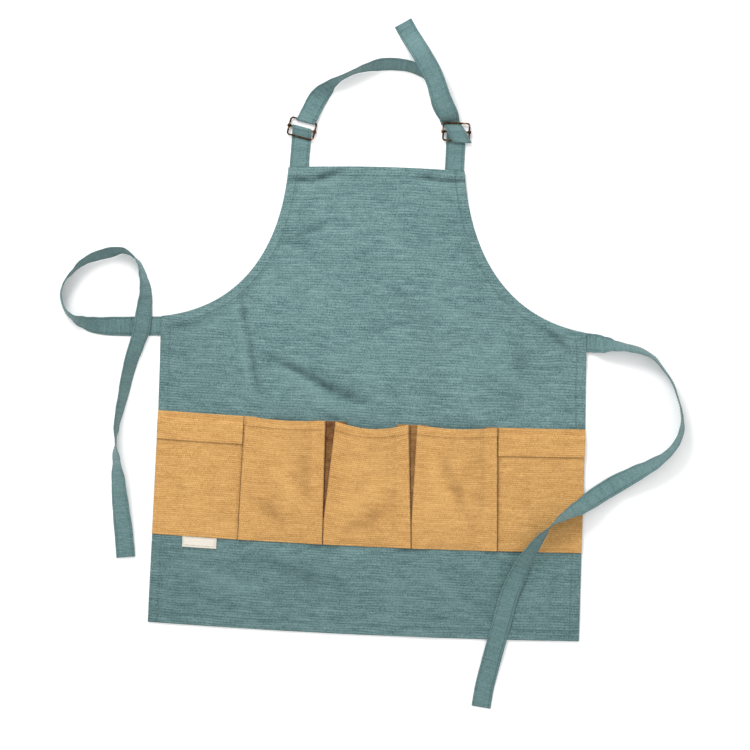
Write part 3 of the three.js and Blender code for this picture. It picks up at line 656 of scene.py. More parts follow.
class SlubWeave(Effect):
    """Ribbed plain weave whose crosswise threads are thick and thin, light and dark."""

    name = "slub_weave"
    inputs = (
        ("Cloth", "NodeSocketVector"),
        ("Rib Pitch", "NodeSocketFloat"),
        ("Thread Pitch", "NodeSocketFloat"),
        ("Slub", "NodeSocketFloat"),
        ("Twill", "NodeSocketFloat"),
    )
    outputs = ("Tone", "Height")

    waver_scale, waver_reach = 24.0, 0.0045
    slub_scale, rib_jumps = 55.0, (7.31, 3.17)
    thread_scales, thread_layer = (2.71, 210.0), 5.0
    band_scales, band_layer = (16.0, 290.0), 9.0
    lint_scale, plain_scale = 760.0, 70.0
    rib_weight, band_weight, thread_weight, lint_weight = 1.2, 0.5, 0.8, 2.2
    mean_tone, mean_height = 2.35, 0.52
    furrow_least, furrow_more = 0.16, 0.34

    @classmethod
    def draw(cls, sketch: Sketch, given: Sockets) -> tuple:
        """Tone is the sum of chance values for each rib, each cross thread, bands of ribs and lint.

        Height is a rounded rib, cut by threads that pass over and under it. Each rib's cuts are
        shifted by the twill's share of a thread from those of the rib before.
        """
        across, along, _ = sketch.parts(given["Cloth"])
        waver = sketch.noise(given["Cloth"], cls.waver_scale, 1.0)
        along = sketch.summed(waver, cls.waver_reach, along)
        rib = sketch.math("DIVIDE", along, given["Rib Pitch"])
        rib_index = sketch.math("FLOOR", rib)
        thread = sketch.math("DIVIDE", across, given["Thread Pitch"])
        thread_index = sketch.math("FLOOR", thread)
        over = sketch.arches(sketch.summed(rib_index, given["Twill"], thread))
        height = sketch.scaled(sketch.arches(rib), sketch.summed(over, 0.5, 0.5))
        jump, layer = (sketch.scaled(rib_index, factor) for factor in cls.rib_jumps)
        rib_place = sketch.vector(sketch.summed(across, cls.slub_scale, jump), layer)
        rib_tone = sketch.noise(rib_place, 1.0, 2.0)
        thread_place = sketch.stretched(thread_index, along, cls.thread_scales, cls.thread_layer)
        thread_tone = sketch.noise(thread_place, 1.0, 1.0)
        band_place = sketch.stretched(across, along, cls.band_scales, cls.band_layer)
        band = sketch.noise(band_place, 1.0, 3.0)
        lint = sketch.noise(given["Cloth"], cls.lint_scale, 2.0)
        total = sketch.summed(rib_tone, cls.rib_weight, sketch.scaled(band, cls.band_weight))
        total = sketch.summed(thread_tone, cls.thread_weight, total)
        total = sketch.summed(lint, cls.lint_weight, total)
        centred = sketch.math("SUBTRACT", total, cls.mean_tone)
        plain = sketch.ramp(sketch.noise(given["Cloth"], cls.plain_scale, 2.0), 0.38, 0.62)
        depth = sketch.summed(plain, cls.furrow_more, cls.furrow_least)
        # Painted shade and light: the tone is darkened in the furrows between the ribs and
        # lightened on their crowns.
        furrow_shade = sketch.scaled(sketch.math("SUBTRACT", height, cls.mean_height), depth)
        tone = sketch.summed(centred, given["Slub"], 0.5)
        return sketch.math("ADD", tone, furrow_shade, clamp=True), height


class HemMarks(Effect):
    """The groove of a seam beside an edge and the puckers that it draws the cloth into."""

    name = "hem_marks"
    inputs = (
        ("Seam", "NodeSocketVector"),
        ("Line", "NodeSocketFloat"),
        ("Reach", "NodeSocketFloat"),
    )
    outputs = ("Shade", "Height")

    groove_edges = (0.0002, 0.0012)
    pucker_scales = (190.0, 60.0)
    rim_width = 0.0016

    @classmethod
    def draw(cls, sketch: Sketch, given: Sockets) -> tuple:
        """The groove is deepest on its line. The puckers are noise drawn out square to the edge."""
        inward, along, _ = sketch.parts(given["Seam"])
        away = sketch.math("ABSOLUTE", sketch.math("SUBTRACT", inward, given["Line"]))
        groove = sketch.rest(sketch.ramp(away, *cls.groove_edges))
        pucker = sketch.noise(sketch.stretched(along, inward, cls.pucker_scales), 1.0, 1.0)
        share = sketch.math("DIVIDE", inward, given["Reach"])
        within = sketch.rest(sketch.ramp(share, 0.9, 1.35))
        pucker = sketch.scaled(sketch.math("SUBTRACT", pucker, 0.5), within)
        rim = sketch.rest(sketch.ramp(inward, 0.0, cls.rim_width))
        # Shade is painted shade: darker in the seam's groove and along the rim at the edge, and
        # lighter on the puckers' crests than in their hollows.
        shade = sketch.summed(groove, 0.6, sketch.scaled(rim, 0.35))
        shade = sketch.summed(pucker, -0.5, shade)
        height = sketch.summed(pucker, 0.9, sketch.scaled(groove, -0.5))
        return shade, height


class Mottle(Effect):
    """Uneven dye and lint: broad soft patches and small flecks."""

    name = "dye_mottle"
    inputs = (("Place", "NodeSocketVector"),)
    outputs = ("Patch", "Fleck")

    patch_scale, fleck_scale = 14.0, 900.0
    fleck_edges = (0.66, 0.78)

    @classmethod
    def draw(cls, sketch: Sketch, given: Sockets) -> tuple:
        """Patch is slow noise, and fleck is what stands out of fine noise."""
        patch = sketch.noise(given["Place"], cls.patch_scale, 3.0)
        fleck = sketch.ramp(sketch.noise(given["Place"], cls.fleck_scale, 1.0), *cls.fleck_edges)
        return patch, fleck


class Finish:
    """What a surface looks like. Its material is made once."""

    name: str

    def material(self) -> bpy.types.Material:
        """The finish as a material."""
        made = bpy.data.materials.get(self.name)
        if made:
            return made
        made = bpy.data.materials.new(self.name)
        made.use_nodes = True
        made.node_tree.nodes.clear()
        sketch = Sketch(made.node_tree)
        shader = sketch.node("ShaderNodeBsdfPrincipled")
        output = sketch.node("ShaderNodeOutputMaterial")
        sketch.feed(output.inputs["Surface"], shader.outputs[0])
        self.paint(sketch, shader)
        return made

    def paint(self, sketch: Sketch, shader: bpy.types.Node) -> None:
        """Builds the nodes that feed the shader.

        Args:
            sketch: makes the nodes.
            shader: what draws the surface.
        """
        raise NotImplementedError


@dataclass(frozen=True)
class ClothFinish(Finish):
    """Woven cloth with its seams.

    Distances are in metres. seams holds, for each hem, the map that measures it, the distance of
    its stitch line from the edge and the reach of its puckers.
    """

    name: str
    dark: tuple
    light: tuple
    # fold is the colour that painted shade blends towards in creases, pleats and seams.
    fold: tuple
    rib_pitch: float = 0.0014
    thread_pitch: float = 0.0009
    slub: float = 0.66
    twill: float = 0.5
    relief: float = 0.16
    roughness: float = 0.92
    sheen: float = 0.12
    seam_shade: float = 0.16
    patch_share: float = 0.30
    painted_highlight_share: float = 0.5
    fleck_share: float = 0.25
    shade_breakup_scale: float = 110.0
    seams: tuple = ()

    def paint(self, sketch: Sketch, shader: bpy.types.Node) -> None:
        """Colours the threads by the weave, paints shade into seams and folds, paints highlight on
        the crests of wrinkles and raises the weave.
        """
        cloth = sketch.flat("cloth")
        weave = SlubWeave.place(
            sketch,
            Cloth=cloth,
            Rib_Pitch=self.rib_pitch,
            Thread_Pitch=self.thread_pitch,
            Slub=self.slub,
            Twill=self.twill,
        )
        place = sketch.place()
        mottle = Mottle.place(sketch, Place=place)
        tone = sketch.summed(mottle["Patch"], self.patch_share, weave["Tone"])
        tone = sketch.math("SUBTRACT", tone, self.patch_share / 2, clamp=True)
        color = sketch.blend(tone, self.dark, self.light)
        height = sketch.scaled(weave["Height"], self.relief)
        shade = 0.0
        for key, line, reach in self.seams:
            marks = HemMarks.place(sketch, Seam=sketch.flat(key), Line=line, Reach=reach)
            shade = sketch.math("ADD", marks["Shade"], shade)
            height = sketch.math("ADD", marks["Height"], height)
        # Painted shade and light: the first layer darkens the cloth towards the fold colour as
        # painted shade in creases and pleats, broken up by chance noise (worn is that noise, not
        # wear); the second darkens the seams as painted shade; the third lightens the crests of
        # wrinkles as a painted highlight. The fourth is lint.
        worn = sketch.summed(sketch.noise(place, self.shade_breakup_scale, 2.0), 1.0, 0.4)
        layers = (
            (sketch.scaled(sketch.share("painted_shade"), worn, clamp=True), self.fold),
            (sketch.scaled(shade, self.seam_shade, clamp=True), self.fold),
            (sketch.scaled(sketch.share("painted_highlight"), self.painted_highlight_share, clamp=True), self.light),
            (sketch.scaled(mottle["Fleck"], self.fleck_share), self.light),
        )
        for share, over in layers:
            color = sketch.blend(share, color, over)
        sketch.feed(shader.inputs["Base Color"], color)
        rough = sketch.summed(weave["Height"], -0.06, self.roughness)
        sketch.feed(shader.inputs["Roughness"], rough)
        sketch.bump(shader, height, MM)
        shader.inputs["Sheen Weight"].default_value = self.sheen
        shader.inputs["Sheen Roughness"].default_value = 0.5
        shader.inputs["Specular IOR Level"].default_value = 0.25


@dataclass(frozen=True)
class ThreadFinish(Finish):
    """Sewing thread: two tones of one colour in fine turns."""

    name: str
    dark: tuple
    light: tuple
    turn_scale: float = 2600.0

    def paint(self, sketch: Sketch, shader: bpy.types.Node) -> None:
        """Varies the colour and the height by fine noise."""
        turn = sketch.noise(sketch.place(), self.turn_scale, 1.0)
        sketch.feed(shader.inputs["Base Color"], sketch.blend(turn, self.dark, self.light))
        sketch.feed(shader.inputs["Roughness"], sketch.summed(turn, 0.2, 0.55))
        sketch.bump(shader, turn, 0.1 * MM)


@dataclass(frozen=True)
class BrassFinish(Finish):
    """Dark aged brass that is rubbed bright in places."""

    name: str = "aged_brass"
    dark: tuple = linear(46, 31, 20)
    worn: tuple = linear(162, 122, 74)
    patch_scale: float = 260.0
    grain_scale: float = 1800.0
    rubbed_edges: tuple = (0.60, 0.86)

    def paint(self, sketch: Sketch, shader: bpy.types.Node) -> None:
        """Rubs the patina off in patches and makes those smoother."""
        place = sketch.place()
        patch = sketch.noise(place, self.patch_scale, 3.0)
        grain = sketch.noise(place, self.grain_scale, 2.0)
        rubbed = sketch.ramp(sketch.summed(grain, 0.25, patch), *self.rubbed_edges)
        sketch.feed(shader.inputs["Base Color"], sketch.blend(rubbed, self.dark, self.worn))
        rough = sketch.summed(rubbed, -0.16, 0.46)
        sketch.feed(shader.inputs["Roughness"], sketch.summed(grain, 0.1, rough))
        sketch.feed(shader.inputs["Metallic"], sketch.summed(rubbed, 0.1, 0.9))
        sketch.bump(shader, grain, 0.05 * MM)


@dataclass(frozen=True)
class FloorFinish(Finish):
    """A pale matt floor."""

    name: str = "studio_floor"
    dark: tuple = (0.93, 0.93, 0.93, 1.0)
    light: tuple = (0.96, 0.96, 0.96, 1.0)
    tooth_scale: float = 40.0

    def paint(self, sketch: Sketch, shader: bpy.types.Node) -> None:
        """Sets a plain pale colour with a trace of tooth."""
        tooth = sketch.noise(sketch.place(), self.tooth_scale, 2.0)
        sketch.feed(shader.inputs["Base Color"], sketch.blend(tooth, self.dark, self.light))
        shader.inputs["Roughness"].default_value = 1.0
        shader.inputs["Specular IOR Level"].default_value = 0.0


HEM_LINE = 0.010
HEM_REACH = 0.011
BODY = ClothFinish(
    name="slub_canvas",
    dark=linear(48, 77, 80),
    light=linear(121, 150, 149),
    fold=linear(30, 52, 56),
    rib_pitch=0.0028,
    thread_pitch=0.0014,
    seams=(("side_hem", HEM_LINE, HEM_REACH), ("end_hem", HEM_LINE, HEM_REACH)),
)
TAN = ClothFinish(
    name="tan_canvas",
    dark=linear(148, 101, 48),
    light=linear(214, 170, 106),
    fold=linear(82, 42, 16),
    rib_pitch=0.0022,
    thread_pitch=0.0025,
    slub=0.52,
    twill=0.33,
    relief=0.15,
    seams=(("mouth_hem", HEM_LINE, HEM_REACH),),
)
STRAP = ClothFinish(
    name="strap_canvas",
    dark=linear(59, 87, 90),
    light=linear(112, 141, 140),
    fold=linear(36, 60, 64),
    rib_pitch=0.0016,
    thread_pitch=0.0013,
    slub=0.56,
    relief=0.18,
    seam_shade=0.34,
    seams=(("selvage", 0.0022, 0.003),),
)
LABEL = ClothFinish(
    name="label_cotton",
    dark=linear(186, 178, 164),
    light=linear(226, 221, 210),
    fold=linear(150, 140, 124),
    rib_pitch=0.0006,
    thread_pitch=0.0006,
    slub=0.25,
    relief=0.06,
    seams=(("selvage", 0.0014, 0.002),),
)
BODY_THREAD = ThreadFinish("teal_thread", dark=linear(84, 116, 118), light=linear(120, 152, 152))
TAN_THREAD = ThreadFinish("tan_thread", dark=linear(176, 126, 70), light=linear(212, 166, 104))
BRASS = BrassFinish()


# The panel


@dataclass
class Panel:
    """The apron's body: outline, the way it lies, its hems and its soft creases."""

    wall: float = 1.3
    hem_wall: float = 2.0
    hem_width: float = 11.0
    waist_half: float = 223.3
    hem_half: float = 226.5
    bib_half: float = 92.5
    waist: float = 9.5
    bib: float = 172.0
    hem_depth: float = 313.0
    bib_drift: float = -3.7
    hem_drift: float = 1.8
    hem_sag: float = 3.4
    hem_skew: float = 1.2
    bib_arch: float = 3.0
    bib_skew: float = 1.6
    band_top: float = -90.6
    band_depth: float = 129.7
    tab_wall: float = 1.8
    tie_wall: float = 1.4
    tab_spacing: float = 163.2
    stitch_line: float = 10.0
    under_stitch: float = 0.3
    tie_box: tuple = (7.0, -0.5, 5.2, 7.6)
    tab_box: tuple = (5.6, 7.8, 3.4)
    armhole: tuple = (0.55, 0.058, 0.06, 0.615)
    waves: tuple = (
        (-0.16, 0.30, 0.26, 0.13, 2.2), (0.20, 0.40, 0.20, 0.12, 1.8),
        (-0.62, -0.12, 0.20, 0.12, 1.6), (0.60, -0.14, 0.24, 0.11, 2.0),
        (-0.45, -0.88, 0.25, 0.14, 1.8), (0.30, -0.90, 0.22, 0.14, 1.5),
    )
    creases: tuple = (
        (-140.3, 32.0, -134.0, 0.0, 3.2, -0.45), (-134.0, 0.0, -119.0, -62.0, 3.6, -0.5),
        (-144.0, 20.0, -127.0, -58.0, 5.5, 0.35), (-108.0, -28.0, -76.0, -41.0, 4.5, -0.6),
        (-80.0, -40.0, -44.0, -56.0, 5.0, -0.85), (-48.0, -55.0, -8.0, -68.0, 6.0, -0.55),
        (-96.0, -38.0, -40.0, -70.0, 8.0, 0.5), (-94.0, 160.0, -71.0, 157.5, 2.6, -0.9),
        (-71.0, 157.5, -40.0, 168.0, 3.6, -0.8), (-76.0, 150.0, -34.0, 158.0, 6.0, 0.45),
        (40.0, 164.0, 64.0, 160.5, 2.6, -0.7), (64.0, 160.5, 89.0, 162.5, 2.6, -0.8),
        (48.0, 156.0, 84.0, 152.0, 5.5, 0.35), (-82.0, 101.0, -54.0, 113.0, 3.6, -0.35),
        (-98.0, 92.0, -80.0, 97.0, 3.6, -0.3), (-56.0, -85.0, -26.0, -88.0, 3.5, -0.45),
        (-44.0, -78.0, -6.0, -80.0, 6.0, 0.35), (40.0, 60.0, 86.0, 8.0, 11.0, 0.2),
        (28.0, 40.0, 70.0, -8.0, 11.0, -0.1), (120.0, -20.0, 176.0, -62.0, 9.0, 0.4),
        (177.0, 14.0, 209.0, -11.0, 3.6, -0.5), (182.0, 20.0, 216.0, -4.0, 5.0, 0.35),
        (154.0, -1.0, 153.0, -66.0, 7.5, -0.3), (-216.0, -2.0, -186.0, 2.0, 2.6, -0.35),
        (-190.0, -250.0, -120.0, -276.0, 9.0, 0.4), (-110.0, -240.0, -30.0, -262.0, 8.0, -0.3),
        (60.0, -236.0, 110.0, -284.0, 8.0, 0.35),
    )

    def __post_init__(self) -> None:
        """Works out the right side line: a straight lower run, then the armhole's Bezier curve."""
        reach = self.waist_half - self.bib_half
        climb = self.bib - self.waist
        start_reach, start_climb, end_reach, end_climb = self.armhole
        handles = np.array(
            [
                [self.waist_half, self.waist],
                [self.waist_half - start_reach * reach, self.waist + start_climb * climb],
                [self.bib_half + end_reach * reach, self.bib - end_climb * climb],
                [self.bib_half, self.bib],
            ]
        )
        t = np.linspace(0, 1, 1400)[:, None]
        curve = (
            (1 - t) ** 3 * handles[0]
            + 3 * (1 - t) ** 2 * t * handles[1]
            + 3 * (1 - t) * t**2 * handles[2]
            + t**3 * handles[3]
        )
        straight = np.linspace([self.hem_half, -self.hem_depth], [self.waist_half, self.waist], 500)
        self.side_line = np.vstack([straight[:-1], curve])
        self.side_run = run_length(self.side_line)
        self.band_foot = self.band_top - self.band_depth
        self.lifts = [
            (side.value * self.waist_half, 0.0, 42.0, 17.0, self.tie_wall + GAP) for side in Side
        ] + [(self.tab_middle(side), self.bib, 16.0, 17.0, self.tab_wall + GAP) for side in Side]

    def tab_middle(self, side: Side) -> float:
        """Where the middle of a neck tab lies across."""
        return self.bib_drift + side.value * self.tab_spacing / 2

    def half_width(self, y: Array) -> Array:
        """Half the panel's width at a height."""
        return np.interp(y, self.side_line[:, 1], self.side_line[:, 0])

    def middle(self, y: Array) -> Array:
        """The middle of the panel at a height, which drifts sideways above and below the waist.

        Args:
            y: places along.
        """
        above = self.bib_drift * (y - self.waist) / (self.bib - self.waist)
        below = self.hem_drift * np.clip((self.waist - y) / (self.waist - self.band_top), 0, 1)
        return np.where(y > self.waist, above, below)

    def share(self, x: Array, y: Array) -> Array:
        """How far across the panel a place is, from -1 to 1."""
        return np.clip((x - self.middle(y)) / self.half_width(y), -1, 1)

    def line_shift(self, x: Array, y: Array) -> Array:
        """How far a cross line is drawn up where it lies: a parabola across, and a straight skew.

        Args:
            x: places across.
            y: places along.
        """
        share = self.share(x, y)
        below = np.clip((self.waist - y) / (self.waist - self.band_top), 0, 1)
        above = np.clip((y - self.waist) / (self.bib - self.waist), 0, 1)
        bow = self.bib_arch * above - self.hem_sag * below
        skew = self.bib_skew * above - self.hem_skew * below
        return bow * (1 - share * share) + skew * share

    def low(self, x: Array, y: Array) -> Array:
        """The height of the underside: plateaus over the straps' roots and round soft waves.

        Args:
            x: places across.
            y: places along.
        """
        height = np.zeros(np.broadcast(x, y).shape)
        for at_x, at_y, reach_x, reach_y, lift in self.lifts:
            flat_x = 1 - smoothstep(np.abs(x - at_x), reach_x, reach_x + 24)
            flat_y = 1 - smoothstep(np.abs(y - at_y), reach_y, reach_y + 24)
            height = np.maximum(height, lift * flat_x * flat_y)
        for across, along, reach_x, reach_y, lift in self.waves:
            dx = (x - across * self.waist_half) / (reach_x * self.waist_half)
            dy = (y - along * self.hem_depth) / (reach_y * self.hem_depth)
            round_wave = 0.5 + 0.5 * np.cos(np.pi * np.minimum(1, np.hypot(dx, dy)))
            height = np.maximum(height, lift * round_wave)
        return height

    def side_wall(self, from_side: Array) -> Array:
        """The wall beside a straight side, where the hem is folded."""
        return lerp(self.hem_wall, self.wall, np.clip((from_side - self.hem_width) / 4, 0, 1))

    def band_rest(self, x: Array) -> Array:
        """The height of the panel's top under the pockets."""
        y = self.band_top - self.band_depth / 2
        return self.side_wall(self.half_width(y) - np.abs(x - self.middle(y)))

    def side_distance(self, x: Array, y: Array) -> tuple[Array, Array]:
        """The distance from each place to the nearer side line and the length along that line.

        Args:
            x: places across.
            y: places along.
        """
        plan_x = np.abs(x - self.middle(y)).ravel()
        plan_y = y.ravel()
        line = self.side_line[::3]
        run = self.side_run[::3]
        inward = np.empty(plan_x.size)
        along = np.empty(plan_x.size)
        for start in range(0, plan_x.size, 6000):
            part = slice(start, start + 6000)
            away = np.hypot(plan_x[part, None] - line[:, 0], plan_y[part, None] - line[:, 1])
            nearest = away.argmin(axis=1)
            inward[part] = away[np.arange(len(nearest)), nearest]
            along[part] = run[nearest]
        plain = np.interp(plan_y, self.side_line[:, 1], self.side_line[:, 0]) - plan_x
        inward = np.where(plan_y < self.waist - 20, np.maximum(plain, 0), inward)
        inward = np.where(plain < 0.05, 0, inward)
        return inward.reshape(x.shape), along.reshape(x.shape)

    def relief(self, x: Array, y: Array) -> Array:
        """The soft creases and waves of the cloth, none of them under the pockets.

        Args:
            x: places across.
            y: places along.
        """
        under = smoothstep(y, self.band_foot - 12, self.band_foot - 2)
        under = under * (1 - smoothstep(y, self.band_top - 2, self.band_top + 6))
        soft = 0.38 * ripple(x, y, 70, 3) + 0.17 * ripple(x, y, 24, 5)
        return (crease_field(x, y, self.creases) * 1.9 + soft) * (1 - under)

    def shade(self, x: Array, y: Array) -> Array:
        """Painted shade: how much darker the cloth is drawn in its grooves and, as a painted
        fall-off of the light, a little towards its hem; it is also a little darker towards the
        left.
        """
        groove = np.clip(-crease_field(x, y, self.creases) * 1.15, 0, 0.7)
        return groove + 0.16 * smoothstep(-y, 180, 260) + 0.12 * smoothstep(-x, 90, 190)

    def heights(
        self, x: Array, y: Array, inward: Array
    ) -> tuple[Array, Array]:
        """The underside and top of the cloth.

        Args:
            x: places across.
            y: places along.
            inward: the distance from the nearest edge.

        Returns:
            The two heights. The wall is thicker in the hem, dips at its stitch line and is rounded
            at the edge.
        """
        low = self.low(x, y)
        relief = self.relief(x, y)
        hem = 1 - smoothstep(inward, self.hem_width, self.hem_width + 2.2)
        wall = lerp(self.wall, self.hem_wall, hem)
        groove = 0.10 * np.exp(-(((inward - self.stitch_line) / 0.9) ** 2))
        top = low + wall + relief - groove
        under = low + 0.35 * (1 - hem) + np.maximum(relief, 0)
        top = np.maximum(top, under + 0.5)
        middle = (top + under) / 2
        half = (top - under) / 2 * rounding(inward, 0.9)
        return middle - half, middle + half

    def lay(self, x: Array, y: Array, z: Array) -> Array:
        """Places in space for places on the pattern and their heights."""
        return np.stack([x, y + self.line_shift(x, y), z], -1)

    def edge_distance(
        self, x: Array, y: Array
    ) -> tuple[Array, Array, Array]:
        """The distances from the sides and from the nearer end, and the length along the side.

        Args:
            x: places across.
            y: places along.
        """
        side, along = self.side_distance(x, y)
        end = np.minimum(y + self.hem_depth, self.bib - y)
        return side, end, along

    def surface(self) -> Surface:
        """The panel as a closed sheet.

        A row starts and ends on the side lines, at equal lengths along them. Its middle lies at an
        equal share of the whole height, and it bends up to its ends with the cube of the share
        across. That keeps the rows square enough to the armholes.
        """
        near = (0.0, 0.2, 0.6, 1.2, 2.4)
        total = self.side_run[-1]
        run = edge_grid(total, 212, near)
        side_x, side_y = sampled(self.side_line, self.side_run, run).T
        middle_y = -self.hem_depth + (self.hem_depth + self.bib) * run / total
        edge = 1 - np.array(near[:-1]) / side_x[:, None]
        inner = np.linspace(-1, 1, 204)[None] * (1 - near[-1] / side_x[:, None])
        share = np.hstack([-edge, inner, edge[:, ::-1]])
        y = middle_y[:, None] + (side_y - middle_y)[:, None] * np.abs(share) ** 3
        x = self.middle(y) + share * side_x[:, None]
        side, end, along = self.edge_distance(x, y)
        low, high = self.heights(x, y, np.minimum(side, end))
        maps = {
            "cloth": np.stack([x, y], -1),
            "side_hem": np.stack([side, along], -1),
            "end_hem": np.stack([end, x], -1),
        }
        # Painted highlight on the crests of the creases, beside the painted shade in their grooves.
        painted_highlight = np.clip(crease_field(x, y, self.creases) * 1.2, 0, 0.7)
        shades = {"painted_shade": self.shade(x, y), "painted_highlight": painted_highlight}
        return shell(self.lay(x, y, low), self.lay(x, y, high), maps, shades)

    def seam(self, x: Array, y: Array) -> Surface:
        """A row of stitches on the top and one on the underside, along a line of the pattern.

        Args:
            x: the line's places across.
            y: its places along.
        """
        side, end, _ = self.edge_distance(x, y)
        low, high = self.heights(x, y, np.minimum(side, end))
        up = np.tile(UP, (len(x), 1))
        return stitched_through(self.lay(x, y, high), self.lay(x, y, low + self.under_stitch), up)

    def hem_seams(self) -> Surface:
        """The stitches of the four hems, a stitch line in from each edge."""
        line = self.side_line[::8]
        normal = unit(np.gradient(line, axis=0))
        inner = line + self.stitch_line * np.stack([-normal[:, 1], normal[:, 0]], -1)
        low, high = self.stitch_line - self.hem_depth, self.bib - self.stitch_line
        inner = inner[(inner[:, 1] > low) & (inner[:, 1] < high)]
        away, y = inner.T
        rows = [self.seam(self.middle(y) + side.value * away, y) for side in Side]
        for level, half in ((low, self.hem_half), (high, self.bib_half)):
            x = np.linspace(-half + self.stitch_line, half - self.stitch_line, 200)
            y = np.full_like(x, level)
            rows.append(self.seam(x + self.middle(y), y))
        return joined_all(rows)

    def box_seam(self, centre_x: float, centre_y: float, half_x: float, half_y: float) -> Surface:
        """The square of stitches that holds a strap's end behind the hem.

        Args:
            centre_x: its middle across.
            centre_y: its middle along.
            half_x: half its width.
            half_y: half its height.
        """
        corners = np.array([[-1, -1], [1, -1], [1, 1], [-1, 1], [-1, -1]]) * [half_x, half_y]
        path = np.concatenate([np.linspace(a, b, 12) for a, b in zip(corners[:-1], corners[1:])])
        return self.seam(centre_x + path[:, 0], centre_y + path[:, 1])

    def build(self) -> None:
        """Makes the panel and its seams."""
        piece = make_piece("apron_panel", self.surface(), BODY, ["apron_body"])
        seams = [self.hem_seams()]
        inward, *tie_box = self.tie_box
        down, *tab_box = self.tab_box
        for side in Side:
            seams.append(self.box_seam(side.value * (self.waist_half - inward), *tie_box))
            seams.append(self.box_seam(self.tab_middle(side), self.bib - down, *tab_box))
        make_piece("panel_stitching", joined_all(seams), BODY_THREAD)


# Pockets


@dataclass(frozen=True)
class Bellows:
    """A bellows pocket's own shape.

    The insets say how far its front stands in from each seam at the mouth, as shares of the leaf.
    dip is a share of the band's dip. The last two say how much painted shade darkens the inside of
    each pleat, on the left and on the right.
    """

    number: int
    inset_left: float
    inset_right: float
    dip: float
    pleat_shade_left: float
    pleat_shade_right: float


def row_seam(
    high: Array, normal: Array, places: Array, level: float, margin: int
) -> Surface:
    """Sews along the grid row that lies nearest to a level.

    Args:
        high: the cloth's top, row by row.
        normal: the direction out of it.
        places: where each row lies.
        level: where the stitches go.
        margin: how many columns are left out at both ends.

    Returns:
        The stitches.
    """
    row = int(np.abs(places - level).argmin())
    return stitches(high[row, margin:-margin], normal[row, margin:-margin])


